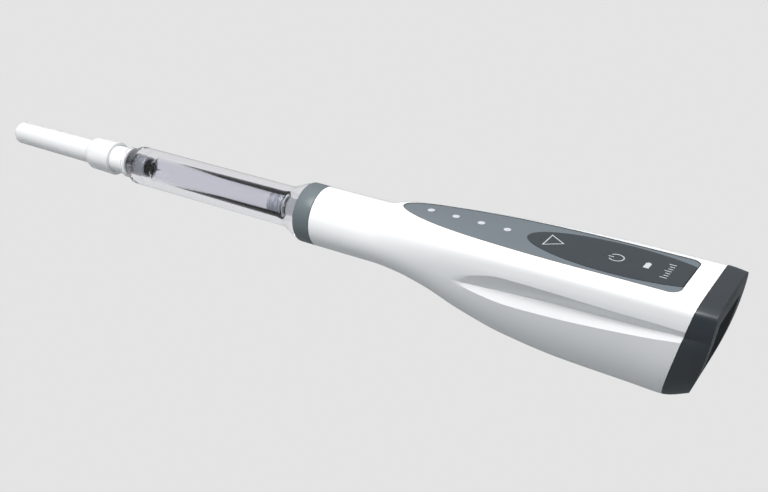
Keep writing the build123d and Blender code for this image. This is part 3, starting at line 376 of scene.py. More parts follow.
# Each station: x, half width, top, bottom, height of the widest line, squareness of the upper half,
# inward lean of the flanks, fullness of the keel.
STATIONS = (
    (0.0, NOSE, NOSE, NOSE, 0.0, 2.0, 0.0, 2.0),
    (18.0, NOSE, NOSE, NOSE, 0.0, 2.0, 0.0, 2.0),
    (21.0, NOSE, NOSE + 0.05, NOSE + 0.05, 0.1, 2.0, 0.0, 2.0),
    (28.0, 10.55, 10.95, 9.95, 1.0, 2.3, 0.05, 2.2),
    (38.0, 11.83, 11.4, 12.16, 2.2, 2.7, 0.13, 2.6),
    (50.0, 13.24, 11.46, 16.58, 3.8, 3.3, 0.24, 3.2),
    (64.0, 14.39, TOP, 20.3, 5.2, 4.0, 0.34, 3.7),
    (82.0, 15.35, TOP, 22.37, 6.3, 4.6, 0.38, 4.0),
    (100.0, HALF_WIDTH, TOP, 22.92, 6.5, 5.0, 0.36, 4.0),
    (110.0, HALF_WIDTH, TOP, BELLY, 6.5, 5.0, 0.32, 4.0),
    (118.0, HALF_WIDTH, TOP, 19.96, 6.5, 5.0, 0.27, 4.0),
    (126.0, 14.97, 11.0, 15.89, 6.3, 5.0, 0.24, 4.0),
)
# Each groove station: x, heights of its upper edge, valley and lower edge, and the valley's depth.
GROOVE = (
    (0.0, 0.0, -1.2, -2.4, 0.0),
    (40.0, -0.9, -1.9, -2.9, 0.0),
    (50.5, -1.4, -1.9, -2.4, 0.0),
    (56.0, 1.5, -1.9, -3.5, 0.9),
    (66.0, 4.0, -1.4, -4.6, 1.9),
    (80.0, 4.3, -0.3, -3.9, 2.1),
    (98.0, 4.2, 0.8, -2.0, 1.8),
    (108.0, 4.2, 1.5, -0.7, 1.3),
    (114.0, 4.1, 2.0, 0.3, 0.9),
    (122.0, 4.2, 2.4, 1.2, 0.3),
    (126.0, 4.2, 2.5, 1.4, 0.25),
)
FORM_END = STATIONS[-1][0]
FLAT_START = 20.0  # the top that carries the panel starts behind here
RING_STEP = 1.5
UPPER_STEPS = 26
KEEL_STEPS = 16


def blended(rows, x):
    """The values at x of a station table, by a smooth curve through its rows that never overshoots them."""
    i = max(k for k in range(len(rows) - 1) if rows[k][0] <= x or k == 0)
    a, b = rows[i], rows[i + 1]
    t = min(1.0, max(0.0, (x - a[0]) / (b[0] - a[0])))

    def slope(k, column):
        if k == 0 or k == len(rows) - 1:
            return 0.0
        before = (rows[k][column] - rows[k - 1][column]) / (rows[k][0] - rows[k - 1][0])
        after = (rows[k + 1][column] - rows[k][column]) / (rows[k + 1][0] - rows[k][0])
        return 0.0 if before * after <= 0 else 2 * before * after / (before + after)

    out = []
    width = b[0] - a[0]
    for c in range(1, len(a)):
        m0, m1 = slope(i, c) * width, slope(i + 1, c) * width
        out.append(
            (2 * t**3 - 3 * t**2 + 1) * a[c] + (t**3 - 2 * t**2 + t) * m0
            + (3 * t**2 - 2 * t**3) * b[c] + (t**3 - t**2) * m1
        )
    return out


def flank(form, z):
    """Half width of a section at height z."""
    half_width, top, bottom, mid, square, lean, keel = form
    if z >= mid:
        return half_width * max(0.0, 1 - ((z - mid) / (top - mid)) ** square) ** (1 / square)
    depth = min(1.0, (mid - z) / (mid + bottom))
    return half_width * (1 - lean * depth * depth / (depth + 0.1)) * math.sqrt(max(0.0, 1 - depth**keel))


def half_section(x, inset=0.0, grooved=True):
    """The right half of the section at x, from the top centre to the bottom centre, as (y, z)."""
    half_width, top, bottom, mid, square, lean, keel = blended(STATIONS, x)
    half_width, top, bottom = half_width - inset, top - inset, bottom - inset
    form = (half_width, top, bottom, mid, square, lean, keel)
    points = [(0.0, top)]
    for i in range(1, UPPER_STEPS):
        angle = math.radians(90 * (1 - i / UPPER_STEPS))
        y = half_width * math.cos(angle) ** (2 / square)
        points.append((y, mid + (top - mid) * math.sin(angle) ** (2 / square)))
    points.append((half_width, mid))
    upper, valley, lower, depth = blended(GROOVE, x)
    depth = depth if grooved else 0.0
    for share in (0.35, 0.7):
        z = mid + (upper - mid) * share
        points.append((flank(form, z), z))
    edge_in, valley_in, lower_in = flank(form, upper), flank(form, valley) - depth, flank(form, lower)
    crown = 0 if depth else 0.01
    points += [
        (edge_in, upper), ((edge_in + valley_in) / 2 + crown, (upper + valley) / 2),
        (valley_in, valley), ((lower_in + valley_in) / 2 + crown, (valley + lower) / 2),
        (lower_in, lower),
    ]
    start = math.asin((mid - lower) / (mid + bottom))
    for i in range(1, KEEL_STEPS + 1):
        angle = start + (math.pi / 2 - start) * i / (KEEL_STEPS + 0.35)
        z = mid - (mid + bottom) * math.sin(angle)
        points.append((flank(form, z), z))
    points.append((0.0, -bottom))
    return points


def body_form(inset=0.0, drop=0.0, grooved=True, start=0.0):
    """The closed form of the body, pulled out ring by ring along X."""
    count = round((FORM_END - start) / RING_STEP)
    bm = bmesh.new()
    ring = []
    for k in range(count + 1):
        x = start + (FORM_END - start) * k / count
        right = half_section(x, inset, grooved)
        loop = right + [(-y, z) for y, z in reversed(right[1:-1])]
        places = [(x * MM, y * MM, (z - drop) * MM) for y, z in loop]
        if not ring:
            ring = [bm.verts.new(place) for place in places]
            bm.faces.new(ring)
            continue
        edges = [bm.edges.get((a, b)) for a, b in zip(ring, ring[1:] + ring[:1])]
        fresh = set(bmesh.ops.extrude_edge_only(bm, edges=edges)["geom"])
        ring = [next(e.other_vert(v) for e in v.link_edges if e.other_vert(v) in fresh) for v in ring]
        for v, place in zip(ring, places):
            v.co = place
    bm.faces.new(ring)
    bmesh.ops.recalc_face_normals(bm, faces=bm.faces)
    return bm


def cut_off(bm, x, z, tilt, keep_rear, cap=True):
    """Cuts the bmesh by the plane through (x, z) that leans forward at its foot, and closes it."""
    lean = math.radians(tilt)
    normal = Vector((math.cos(lean), 0, -math.sin(lean)))
    cut = bmesh.ops.bisect_plane(
        bm, geom=[*bm.verts, *bm.edges, *bm.faces], dist=1e-8, plane_co=Vector((x, 0, z)) * MM, plane_no=normal,
        clear_inner=keep_rear, clear_outer=not keep_rear,
    )
    if cap:
        edges = [g for g in cut["geom_cut"] if isinstance(g, bmesh.types.BMEdge)]
        bmesh.ops.edgeloop_fill(bm, edges=edges)
        bmesh.ops.recalc_face_normals(bm, faces=bm.faces)
    return bm


# ---- key panel outlines, seen from above ----
PANEL_GAP = 0.15
PANEL_TIP, PANEL_REAR = (x + side * PANEL_GAP for x, side in zip(span("key_panel"), (-1, 1)))
PANEL_HALF_WIDTH = span("key_panel", 1)[1] + PANEL_GAP
PANEL_SHOULDER = PANEL_TIP + 60.0
PANEL_CORNER = 3.0
PAD_CENTRE = PANEL_REAR - 19.2
PAD_REAR = PANEL_REAR - 0.3
PAD_LENGTH = 26.2
PAD_HALF_WIDTH = 9.4
LED_RADIUS = 1.05
LED_FIRST, LED_PITCH = 36.5, 8.0
LED_PLACES = [LED_FIRST + LED_PITCH * i for i in range(4)]
KEY_RADIUS = span("start_key", 1)[1]
START_X = sum(span("start_key")) / 2
POWER_X = sum(span("power_key")) / 2
GAUGE_X = sum(span("gauge_window")) / 2
ARC_STEPS = 96
CORNER_STEPS = 8
PANEL_DROP = 0.15  # the panel lies this far below the body's surface
PAD_DROP = 0.05
PLATE_DEPTH = 0.6


def panel_outline(offset=0.0):
    """The leaf-shaped panel: half an ellipse, straight sides and rounded rear corners."""
    width, rear = PANEL_HALF_WIDTH - offset, PANEL_REAR - offset
    reach, corner = PANEL_SHOULDER - PANEL_TIP - offset, PANEL_CORNER - offset
    points = []
    for i in range(ARC_STEPS + 1):
        angle = math.pi / 2 + math.pi * i / ARC_STEPS
        points.append((PANEL_SHOULDER + reach * math.cos(angle), width * math.sin(angle)))
    for side, first in ((-1, -90), (1, 0)):
        for i in range(CORNER_STEPS + 1):
            angle = math.radians(first + 90 * i / CORNER_STEPS)
            x, y = rear - corner, side * (width - corner)
            points.append((x + corner * math.cos(angle), y + corner * math.sin(angle)))
    return points


def pad_outline(offset=0.0):
    """The pad: an ellipse cut square by its rear edge."""
    rear, length, width = PAD_REAR - offset, PAD_LENGTH - offset, PAD_HALF_WIDTH - offset
    reach = math.acos((rear - PAD_CENTRE) / length)
    points = []
    for i in range(ARC_STEPS + 1):
        angle = reach + (2 * math.pi - 2 * reach) * i / ARC_STEPS
        points.append((PAD_CENTRE + length * math.cos(angle), width * math.sin(angle)))
    return points


def disc_outline(x, radius, steps=48):
    """A circle on the centre line."""
    angles = (2 * math.pi * i / steps for i in range(steps))
    return [(x + radius * math.cos(angle), radius * math.sin(angle)) for angle in angles]


def column(outline, low=5.0, high=16.0):
    """An outline pulled straight up, in millimetres."""
    bm = bmesh.new()
    bm.faces.new([bm.verts.new((x * MM, y * MM, low * MM)) for x, y in outline])
    raised = bmesh.ops.extrude_face_region(bm, geom=bm.faces[:])["geom"]
    lifted = [g for g in raised if isinstance(g, bmesh.types.BMVert)]
    bmesh.ops.translate(bm, verts=lifted, vec=(0, 0, (high - low) * MM))
    bmesh.ops.recalc_face_normals(bm, faces=bm.faces)
    return bm


def surface_plate(outline, drop):
    """A plate of the outline whose top follows the body's surface, a drop below it."""
    plate = combined(column(outline), body_form(drop=drop, grooved=False, start=FLAT_START), "INTERSECT")
    return combined(plate, body_form(drop=drop + PLATE_DEPTH, grooved=False, start=FLAT_START), "DIFFERENCE")


# ---- the handpiece's shell ----
JOINT_FRONT = 0.0
JOINT_TOP = span("housing")[1]
JOINT_TILT = 12.7
REAR_TILT = 10.8
SEAM = 0.15
SHELL_WALL = 1.35
KEY_GAP = 0.2
CAP_REAR = span("end_cap")[1]


def make_white_shell(finish):
    """The one-piece shell: hollow, with a style groove on each side and a pocket for the panel."""
    bm = cut_off(body_form(), JOINT_TOP, TOP, JOINT_TILT, keep_rear=False, cap=False)
    front = [f for f in bm.faces if all(abs(v.co.x) < 1e-7 for v in f.verts)]
    bmesh.ops.delete(bm, geom=front, context="FACES_ONLY")
    bmesh.ops.recalc_face_normals(bm, faces=bm.faces)
    outward = 0.0
    for face in bm.faces:
        centre = face.calc_center_median()
        outward += face.normal.dot(Vector((0, centre.y, centre.z + 2 * MM)))
    if outward < 0:
        bmesh.ops.reverse_faces(bm, faces=bm.faces)
    bmesh.ops.solidify(bm, geom=bm.faces[:], thickness=SHELL_WALL * MM)
    floor = body_form(drop=PANEL_DROP + PLATE_DEPTH, grooved=False, start=FLAT_START)
    bm = combined(bm, combined(column(panel_outline()), floor, "DIFFERENCE"), "DIFFERENCE")
    for x in (START_X, POWER_X):
        bm = combined(bm, column(disc_outline(x, KEY_RADIUS + KEY_GAP)), "DIFFERENCE")
    return piece(bm, "white_shell", finish["white_gloss_shell"], "housing", sharp=17)


# ---- the rear cap ----
# Corners of the recess, as shares of the half width and of the height above or below the axis.
RECESS_CORNERS = ((0.73, 0.65), (0.71, -0.13), (0.51, -0.52), (0.30, -0.69))
RECESS_CORNER_RADIUS = 3.0
RECESS_DEPTH = 1.2
RECESS_REACH, RECESS_OPENING = 10.0, 1.4
CROWN_RADIUS = 94.0
CAP_WALL = 3.1
CAP_REAR_WALL = 2.8
RIM_RADIUS = 0.7
SCREW_TOP = span("cap_screws")[1]
SCREW_SEAT = SCREW_TOP - 1.1
SCREW_HEAD_RADIUS = 1.8
SCREW_SHANK_RADIUS = 1.0
SOCKET_DEPTH, SOCKET_RADIUS = 0.7, 0.85
SCREW_PLACES = (-7.0, 7.0)
CONTACT_RADIUS = 1.3
CONTACT_DOME = 0.5
CONTACT_PLACES = (-4.5, 0.0, 4.5)
CONTACT_Z = -6.0


def rounded(corners, radius, steps=6):
    """The corners of an outline, each replaced by an arc."""
    points = []
    for i, corner in enumerate(corners):
        here = Vector(corner)
        to_last, to_next = ((Vector(corners[k]) - here).normalized() for k in (i - 1, (i + 1) % len(corners)))
        half = to_last.angle(to_next) / 2
        centre = here + (to_last + to_next).normalized() * (radius / math.sin(half))
        run = radius / math.tan(half)
        a, b = here + to_last * run - centre, here + to_next * run - centre
        points += [centre + a.slerp(b, k / steps) for k in range(steps + 1)]
    return [tuple(point) for point in points]


def recess_block():
    """The cutter for the rear recess: its outline pulled out along the tilted face, opening a little."""
    lean = math.radians(REAR_TILT)
    right = [(wide * HALF_WIDTH, high * (TOP if high > 0 else BELLY)) for wide, high in RECESS_CORNERS]
    outline = rounded([*right, *[(-y, z) for y, z in reversed(right)]], RECESS_CORNER_RADIUS)
    bm = bmesh.new()
    ring = []
    for y, z in outline:
        x = CAP_REAR - RECESS_DEPTH - (TOP - z) * math.tan(lean)
        ring.append(bm.verts.new((x * MM, y * MM, z * MM)))
    raised = bmesh.ops.extrude_face_region(bm, geom=[bm.faces.new(ring)])["geom"]
    for v in [g for g in raised if isinstance(g, bmesh.types.BMVert)]:
        rise = math.copysign(RECESS_OPENING, v.co.z) - RECESS_REACH * math.sin(lean)
        v.co += Vector((RECESS_REACH * math.cos(lean), math.copysign(RECESS_OPENING, v.co.y), rise)) * MM
    bmesh.ops.recalc_face_normals(bm, faces=bm.faces)
    return bm


def rod_along_x(start, end, radius, y, z, sides=40):
    """A plain round or many-sided rod along X."""
    bm = bmesh.new()
    bmesh.ops.create_cone(
        bm, cap_ends=True, segments=sides, radius1=radius * MM, radius2=radius * MM, depth=(end - start) * MM,
        matrix=Matrix.Translation(Vector(((start + end) / 2, y, z)) * MM) @ Matrix.Rotation(math.pi / 2, 4, "Y"),
    )
    return bm


def make_rear_cap(finish):
    """The dark cap: tilted joint, crowned rear and a recess inside its rim."""
    cap = cut_off(body_form(), JOINT_TOP + SEAM, TOP, JOINT_TILT, keep_rear=True)
    crown = bmesh.new()
    centre = Matrix.Translation(Vector((CAP_REAR - CROWN_RADIUS, 0, TOP + 2)) * MM)
    bmesh.ops.create_cone(
        crown, cap_ends=True, segments=512, radius1=CROWN_RADIUS * MM, radius2=CROWN_RADIUS * MM, depth=0.1,
        matrix=centre @ Matrix.Rotation(math.pi / 2, 4, "X"),
    )
    cap = combined(cap, crown, "INTERSECT")
    cap = combined(cap, recess_block(), "DIFFERENCE")
    hollow = body_form(inset=CAP_WALL, grooved=False, start=90.0)
    hollow = cut_off(hollow, CAP_REAR - CAP_REAR_WALL, TOP, REAR_TILT, keep_rear=False)
    cap = combined(cap, hollow, "DIFFERENCE")
    for y in SCREW_PLACES:
        for start, radius in ((SCREW_SEAT, SCREW_HEAD_RADIUS), (SCREW_SEAT - 8, SCREW_SHANK_RADIUS)):
            cap = combined(cap, rod_along_x(start, CAP_REAR + 5, radius + 0.1, y, 0.0), "DIFFERENCE")
    for y in CONTACT_PLACES:
        hole = rod_along_x(CAP_REAR - 20, CAP_REAR + 5, CONTACT_RADIUS + 0.05, y, CONTACT_Z)
        cap = combined(cap, hole, "DIFFERENCE")
    rear = Vector((math.cos(math.radians(REAR_TILT)), 0, -math.sin(math.radians(REAR_TILT))))
    bmesh.ops.dissolve_limit(cap, angle_limit=math.radians(0.5), verts=cap.verts, edges=cap.edges)
    rim = []
    for edge in cap.edges:
        if edge.is_manifold and edge.verts[0].co.x > (JOINT_TOP - 4) * MM:
            facing = sorted(face.normal.dot(rear) for face in edge.link_faces)
            if facing[1] > 0.9 and -0.3 < facing[0] < 0.6:
                rim.append(edge)
    bmesh.ops.bevel(
        cap, geom=rim, affect="EDGES", offset=RIM_RADIUS * MM, offset_type="OFFSET", segments=4, profile=0.5,
        material=-1, clamp_overlap=True,
    )
    return piece(cap, "rear_cap", finish["dark_cap_plastic"], "end_cap", sharp=28)


def make_cap_hardware(finish):
    """Two socket-head screws and three domed contact pins in the rear recess."""
    screws = []
    for y in SCREW_PLACES:
        head = spun(
            [(SCREW_SEAT - 6, 0.0), (SCREW_SEAT - 6, SCREW_SHANK_RADIUS), (SCREW_SEAT, SCREW_SHANK_RADIUS),
             (SCREW_SEAT, SCREW_HEAD_RADIUS), (SCREW_TOP, SCREW_HEAD_RADIUS), (SCREW_TOP, 0.0)],
            0.18, steps=48, closed=False,
        )
        bmesh.ops.translate(head, verts=head.verts, vec=(0, y * MM, 0))
        socket = rod_along_x(SCREW_TOP - SOCKET_DEPTH, SCREW_TOP + 1, SOCKET_RADIUS, y, 0.0, sides=6)
        screws.append(combined(head, socket, "DIFFERENCE"))
    piece(joined(screws), "socket_screws", finish["seal_rubber"], "cap_screws")
    pins = []
    front, rear = span("charge_contacts")
    for y in CONTACT_PLACES:
        dome = [(front, 0.0), (front, CONTACT_RADIUS), (rear - CONTACT_DOME, CONTACT_RADIUS)]
        for angle in map(math.radians, (20, 40, 60, 75)):
            x = rear - CONTACT_DOME + CONTACT_DOME * math.sin(angle)
            dome.append((x, CONTACT_RADIUS * math.cos(angle) ** 0.6))
        pin = spun([*dome, (rear, 0.0)], steps=48, closed=False)
        bmesh.ops.translate(pin, verts=pin.verts, vec=(0, y * MM, CONTACT_Z * MM))
        pins.append(pin)
    piece(joined(pins), "contact_pins", finish["inner_brass"], "charge_contacts")


# ---- panel, pad, lights and gauge ----
INK_TOP = TOP - PAD_DROP + 0.03
INK_THICKNESS = 0.05
STROKE = 0.3
BARS_REAR = 107.0


def make_panel(finish):
    """The grey leaf panel, with openings for the pad, the lights and the gauge, and a dark ring in its gap as painted
    shade.
    """
    plate = surface_plate(panel_outline(0.26), PANEL_DROP)
    plate = combined(plate, column(pad_outline()), "DIFFERENCE")
    for x in LED_PLACES:
        plate = combined(plate, column(disc_outline(x, LED_RADIUS + 0.03)), "DIFFERENCE")
    piece(plate, "leaf_panel", finish["grey_panel_plastic"], "key_panel")
    # A near-black ring sunk in the real gap round the panel: painted shade where the gap's walls would be in shadow.
    gap_shade_ring = surface_plate(panel_outline(0.01), 0.04)
    gap_shade_ring = combined(gap_shade_ring, column(panel_outline(0.24)), "DIFFERENCE")
    piece(gap_shade_ring, "panel_gap_shade", finish["seal_rubber"], "key_panel", replaces=False)


def make_pad(finish):
    """The soft pad, and its two round keys on a hairline gap."""
    pad = surface_plate(pad_outline(0.08), PAD_DROP)
    for x in (START_X, POWER_X):
        pad = combined(pad, column(disc_outline(x, KEY_RADIUS + 0.04)), "DIFFERENCE")
    piece(pad, "soft_pad", finish["key_pad_silicone"], "key_pad")
    for x, node in ((START_X, "start_key"), (POWER_X, "power_key")):
        key = surface_plate(disc_outline(x, KEY_RADIUS), PAD_DROP)
        piece(key, node + "_face", finish["key_pad_silicone"], node)


def make_lights_and_gauge(finish):
    """Round light windows, a little crowned, and the battery gauge with its pole."""
    lights = None
    for x in LED_PLACES:
        window = surface_plate(disc_outline(x, LED_RADIUS), PANEL_DROP - 0.04)
        lights = window if lights is None else combined(lights, window, "UNION")
    piece(lights, "status_windows", finish["led_window_plastic"], "led_windows")
    half_x, half_y, pole_x, pole_y = 0.75, 1.55, 0.4, 0.35
    battery = (
        (-half_x, -half_y), (half_x, -half_y), (half_x, half_y), (pole_x, half_y),
        (pole_x, half_y + pole_y), (-pole_x, half_y + pole_y), (-pole_x, half_y), (-half_x, half_y),
    )
    gauge = column([(GAUGE_X + x, y) for x, y in battery], INK_TOP - 0.5, INK_TOP)
    piece(gauge, "battery_gauge", finish["led_window_plastic"], "gauge_window")


# ---- printed marks ----
def stroke(points, closed):
    """A flat line of ink along points, with mitred corners, as an outline pulled up."""
    bm = bmesh.new()
    count = len(points)
    sides = ([], [])
    for i, (x, y) in enumerate(points):
        before = points[(i - 1) % count] if closed or i else points[i]
        after = points[(i + 1) % count] if closed or i < count - 1 else points[i]
        a = Vector((x - before[0], y - before[1]))
        b = Vector((after[0] - x, after[1] - y))
        a = a.normalized() if a.length else b.normalized()
        b = b.normalized() if b.length else a
        bisector = (a + b).normalized()
        normal = Vector((-bisector.y, bisector.x))
        reach = STROKE / 2 / max(0.35, bisector.dot(b))
        for side, sign in zip(sides, (1, -1)):
            place = (x + sign * normal.x * reach, y + sign * normal.y * reach, INK_TOP - INK_THICKNESS)
            side.append(bm.verts.new([value * MM for value in place]))
    last = count if closed else count - 1
    for i in range(last):
        j = (i + 1) % count
        bm.faces.new((sides[0][i], sides[0][j], sides[1][j], sides[1][i]))
    raised = bmesh.ops.extrude_face_region(bm, geom=bm.faces[:])["geom"]
    lifted = [g for g in raised if isinstance(g, bmesh.types.BMVert)]
    bmesh.ops.translate(bm, verts=lifted, vec=(0, 0, INK_THICKNESS * MM))
    bmesh.ops.recalc_face_normals(bm, faces=bm.faces)
    return bm


def make_marks(finish):
    """A triangle on the start key, a power sign on the power key, and plain bars at the pad's rear end."""
    ink = finish["printed_ink"]
    triangle = stroke([(START_X - 1.75, -3.45), (START_X + 2.85, 0.0), (START_X - 1.75, 3.45)], closed=True)
    piece(triangle, "start_mark", ink, "start_key", replaces=False)
    radius, gap = 2.0, math.radians(38)
    centre = POWER_X - 0.1
    angles = [gap + (2 * math.pi - 2 * gap) * i / 48 for i in range(49)]
    arc = [(centre - radius * math.cos(angle), radius * math.sin(angle)) for angle in angles]
    bar = [(centre - radius - 0.2, 0.0), (centre - radius + 1.3, 0.0)]
    power = joined([stroke(arc, closed=False), stroke(bar, closed=False)])
    piece(power, "power_mark", ink, "power_key", replaces=False)
    bars = []
    for i in range(7):
        y, reach = -4.3 + 1.4 * i, 1.9 if i % 3 == 0 else 1.3
        bars.append(stroke([(BARS_REAR - reach, y), (BARS_REAR, y)], closed=False))
    piece(joined(bars), "level_mark", ink, "key_pad", replaces=False)


# ---- collar, holder and cartridge ----
CARTRIDGE_FRONT = span("cartridge_ferrule")[0]
CARTRIDGE_REAR = span("glass_cartridge")[1]
COLLAR_FACE = span("lock_ring")[0]
COLLAR_BORE, TAIL_RADIUS, TAIL_BORE = 7.1, 5.8, 4.2
HOLDER_RADIUS, HOLDER_BORE = 6.4, 4.5
NECK_RADIUS, NECK_BORE = 3.5, 1.2
FLARE_RADIUS, FLARE_LENGTH = 8.9, 7.5
PLUG_RADIUS, PLUG_BORE = 7.0, 5.4
GLASS_RADIUS, GLASS_BORE = 4.325, 3.425
GLASS_NECK_RADIUS, GLASS_NECK_BORE = 2.75, 1.7
FERRULE_RADIUS, FERRULE_WALL = 3.7, 0.18
STOPPER_RADIUS, RIB_HEIGHT = 3.375, 0.35
HEAD_RADIUS, HEAD_TIP_RADIUS = 3.2, 2.2
ROD_RADIUS, ROD_BORE = 2.7, 2.2


def make_collar(finish):
    """The grey twist collar with softened edges."""
    front, rear = span("lock_ring")
    face = JOINT_FRONT - SEAM
    outline = (
        (front, COLLAR_BORE), (front, NOSE), (face, NOSE), (face, TAIL_RADIUS), (rear, TAIL_RADIUS), (rear, TAIL_BORE),
        (face - 0.6, TAIL_BORE), (face - 0.6, COLLAR_BORE),
    )
    piece(spun(outline, 0.35, steps=128, segments=3), "twist_collar", finish["grey_collar_plastic"], "lock_ring")


def smooth_step(a, b, steps, low, high):
    """Points of an S-shaped curve from (a, low) to (b, high)."""
    points = []
    for i in range(1, steps):
        t = i / steps
        points.append((a + (b - a) * t, low + (high - low) * t * t * (3 - 2 * t)))
    return points


def make_holder(finish):
    """The clear barrel: rounded front, long bore, and a flare into the collar."""
    front, rear = span("cartridge_holder")
    wall_front = CARTRIDGE_FRONT - 1.0
    flare = COLLAR_FACE - SEAM
    outline = [
        (front, NECK_BORE), (front, NECK_RADIUS), (wall_front - 3.6, NECK_RADIUS), (wall_front - 3.6, 5.1),
        (wall_front, 5.1), (wall_front + 0.1, 5.3), (wall_front + 0.45, 5.9), (wall_front + 1.1, 6.3),
        (wall_front + 1.8, HOLDER_RADIUS), (flare - FLARE_LENGTH, HOLDER_RADIUS),
    ]
    outline += smooth_step(flare - FLARE_LENGTH, flare, 12, HOLDER_RADIUS, FLARE_RADIUS)
    outline += [(flare, FLARE_RADIUS), (flare, PLUG_RADIUS), (rear, PLUG_RADIUS), (rear, PLUG_BORE)]
    outline += [(CARTRIDGE_REAR + 3.0, HOLDER_BORE), (CARTRIDGE_FRONT - 0.05, HOLDER_BORE)]
    outline += [(CARTRIDGE_FRONT - 0.05, NECK_BORE)]
    piece(spun(outline, 0.12, steps=128), "clear_holder", finish["clear_polycarbonate"], "cartridge_holder")


def make_cartridge(finish):
    """Glass tube with a rolled neck, its crimped cap and ribbed stopper."""
    lip = span("glass_cartridge")[0]
    outline = [
        (lip, GLASS_NECK_BORE), (lip, 3.3), (lip + 0.2, 3.4), (lip + 2.2, 3.4), (lip + 2.8, 2.9),
        (lip + 3.4, GLASS_NECK_RADIUS), (lip + 4.4, GLASS_NECK_RADIUS),
    ]
    outline += smooth_step(lip + 4.4, lip + 7.9, 10, GLASS_NECK_RADIUS, GLASS_RADIUS)
    outline += [(lip + 7.9, GLASS_RADIUS), (CARTRIDGE_REAR, GLASS_RADIUS)]
    outline += [(CARTRIDGE_REAR, GLASS_BORE), (lip + 8.6, GLASS_BORE)]
    outline += reversed(smooth_step(lip + 5.2, lip + 8.6, 8, GLASS_NECK_BORE, GLASS_BORE))
    outline += [(lip + 5.2, GLASS_NECK_BORE)]
    piece(spun(outline, 0.1, steps=96), "glass_tube", finish["cartridge_glass"], "glass_cartridge")
    front, rear = span("cartridge_ferrule")
    inner = FERRULE_RADIUS - FERRULE_WALL
    cap = [
        (front, 1.6), (front, FERRULE_RADIUS), (rear, FERRULE_RADIUS), (rear, 3.0), (rear - FERRULE_WALL, 3.0),
        (rear - FERRULE_WALL, inner), (front + FERRULE_WALL, inner), (front + FERRULE_WALL, 1.6),
    ]
    piece(spun(cap, 0.08, steps=96), "crimped_cap", finish["cartridge_aluminium"], "cartridge_ferrule")
    front, rear = span("cartridge_stopper")
    groove = STOPPER_RADIUS - RIB_HEIGHT
    ribs = [(front, 0.0), (front, groove)]
    pitch = (rear - front) / 3.5
    for i in range(3):
        start = front + 0.2 + i * (pitch + 0.15)
        ribs += [(start, groove), (start + 0.25, STOPPER_RADIUS)]
        ribs += [(start + pitch - 0.45, STOPPER_RADIUS), (start + pitch - 0.2, groove)]
    ribs += [(rear, groove), (rear, 0.0)]
    piece(spun(ribs, 0.06, steps=64, closed=False), "ribbed_stopper", finish["stopper_rubber"], "cartridge_stopper")


def make_rod(finish):
    """The plunger's cone and its bright hollow rod."""
    front, rear = span("rod_head")
    cone = [(front, 0.0), (front, HEAD_TIP_RADIUS)]
    cone += smooth_step(front, rear - 0.3, 6, HEAD_TIP_RADIUS, HEAD_RADIUS)
    cone += [(rear - 0.3, HEAD_RADIUS), (rear, HEAD_RADIUS), (rear, 0.0)]
    piece(spun(cone, 0.1, steps=64, closed=False), "plunger_cone", finish["rod_head_plastic"], "rod_head")
    front, rear = span("push_rod")
    rod = [(front, 0.0), (front, ROD_RADIUS), (rear, ROD_RADIUS), (rear, ROD_BORE)]
    rod += [(front + 2, ROD_BORE), (front + 2, 0.0)]
    piece(spun(rod, 0.1, steps=64, closed=False), "plunger_rod", finish["bright_steel"], "push_rod")


# ---- needle ----
HUB_RADIUS, HUB_FLANGE_RADIUS, HUB_BORE = 4.5, 4.9, 3.6
NEEDLE_RADIUS, NEEDLE_BORE, NEEDLE_SLANT = 0.21, 0.12, 65
SHEATH_BORE, SHEATH_RADIUS = 3.05, 4.1
SKIRT_LENGTH, SKIRT_RADIUS, SKIRT_BORE = 9.0, 5.55, 4.7
SHEATH_FLUTES, FLUTE_DEPTH = 8, 0.03


def make_hub(finish):
    """The white hub: a stepped sleeve with a narrow nose and a thin flange."""
    front, rear = span("needle_hub")
    neck = span("cartridge_holder")[0] - SEAM
    outline = [
        (front, 0.26), (front, 2.0), (front + 0.3, 2.4), (front + 5.4, 2.5), (front + 6.0, 4.2),
        (front + 6.4, HUB_RADIUS), (rear - 0.7, 4.55), (rear - 0.7, HUB_FLANGE_RADIUS), (rear, HUB_FLANGE_RADIUS),
        (rear, HUB_BORE), (neck, HUB_BORE), (neck, 0.26),
    ]
    piece(spun(outline, 0.12, steps=96), "needle_hub_sleeve", finish["hub_polypropylene"], "needle_hub")


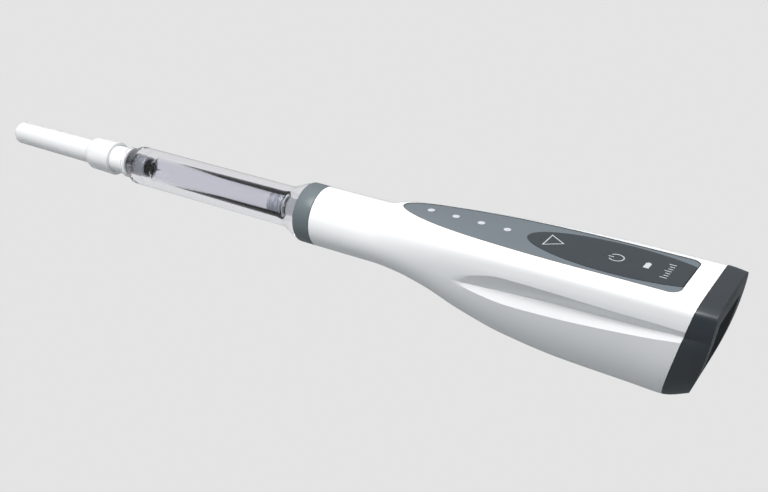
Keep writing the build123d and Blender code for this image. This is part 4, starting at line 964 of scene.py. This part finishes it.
def make_needle(finish):
    """The steel needle with a slanted point at each end."""
    front, rear = span("needle_cannula")
    bm = spun([(front, NEEDLE_RADIUS), (rear, NEEDLE_RADIUS), (rear, NEEDLE_BORE), (front, NEEDLE_BORE)], steps=24)
    for x, tilt, keep_rear in ((front, -NEEDLE_SLANT, True), (rear, NEEDLE_SLANT, False)):
        cut_off(bm, x + (0.45 if keep_rear else -0.45), 0, tilt, keep_rear, cap=False)
    piece(bm, "steel_needle", finish["needle_steel"], "needle_cannula")


def make_sheath(finish):
    """The milky sheath: a slightly tapered tube, a swept flare and a skirt with soft flutes."""
    front, rear = span("needle_sheath")
    skirt = rear - SKIRT_LENGTH
    flare = skirt - 2.0
    outline = [(front, 0.0), (front, 2.9), (front + 0.12, 3.4), (front + 0.45, 3.75), (front + 1.0, 3.92)]
    outline += [(flare - 1.0, SHEATH_RADIUS)]
    outline += smooth_step(flare - 1.0, skirt + 0.5, 8, SHEATH_RADIUS, SKIRT_RADIUS)
    outline += [(skirt + 0.5, SKIRT_RADIUS), (rear - 0.9, 5.6), (rear - 0.8, 5.65), (rear, 5.65)]
    outline += [(rear, SKIRT_BORE), (skirt + 0.4, SKIRT_BORE)]
    outline += [(flare + 0.4, SHEATH_BORE), (front + 1.2, SHEATH_BORE), (front + 1.2, 0.0)]
    bm = spun(outline, 0.1, steps=128, closed=False)
    for v in bm.verts:
        x, radius = v.co.x / MM, math.hypot(v.co.y, v.co.z) / MM
        if skirt < x < rear - 2.0 and radius > 5.2:
            flute = 0.5 - 0.5 * math.cos(SHEATH_FLUTES * math.atan2(v.co.z, v.co.y))
            v.co.yz *= 1 - FLUTE_DEPTH * flute
    piece(bm, "milky_sheath", finish["sheath_polypropylene"], "needle_sheath")


def paint_cad(finish):
    """Gives every CAD piece that still shows the finish of its slot."""
    for name, node in frame["nodes"].items():
        node.data.materials.clear()
        node.data.materials.append(finish[SLOT_OF[name]])


def main():
    """Makes the view and the finishes, and then every piece."""
    make_camera()
    make_world()
    make_floor()
    make_lights()
    finish = make_materials()
    make_white_shell(finish)
    make_rear_cap(finish)
    make_cap_hardware(finish)
    make_panel(finish)
    make_pad(finish)
    make_lights_and_gauge(finish)
    make_marks(finish)
    make_collar(finish)
    make_holder(finish)
    make_cartridge(finish)
    make_rod(finish)
    make_hub(finish)
    make_needle(finish)
    make_sheath(finish)
    paint_cad(finish)
    bpy.context.scene.view_settings.view_transform = "Standard"
    bpy.context.scene.view_settings.look = "None"


main()
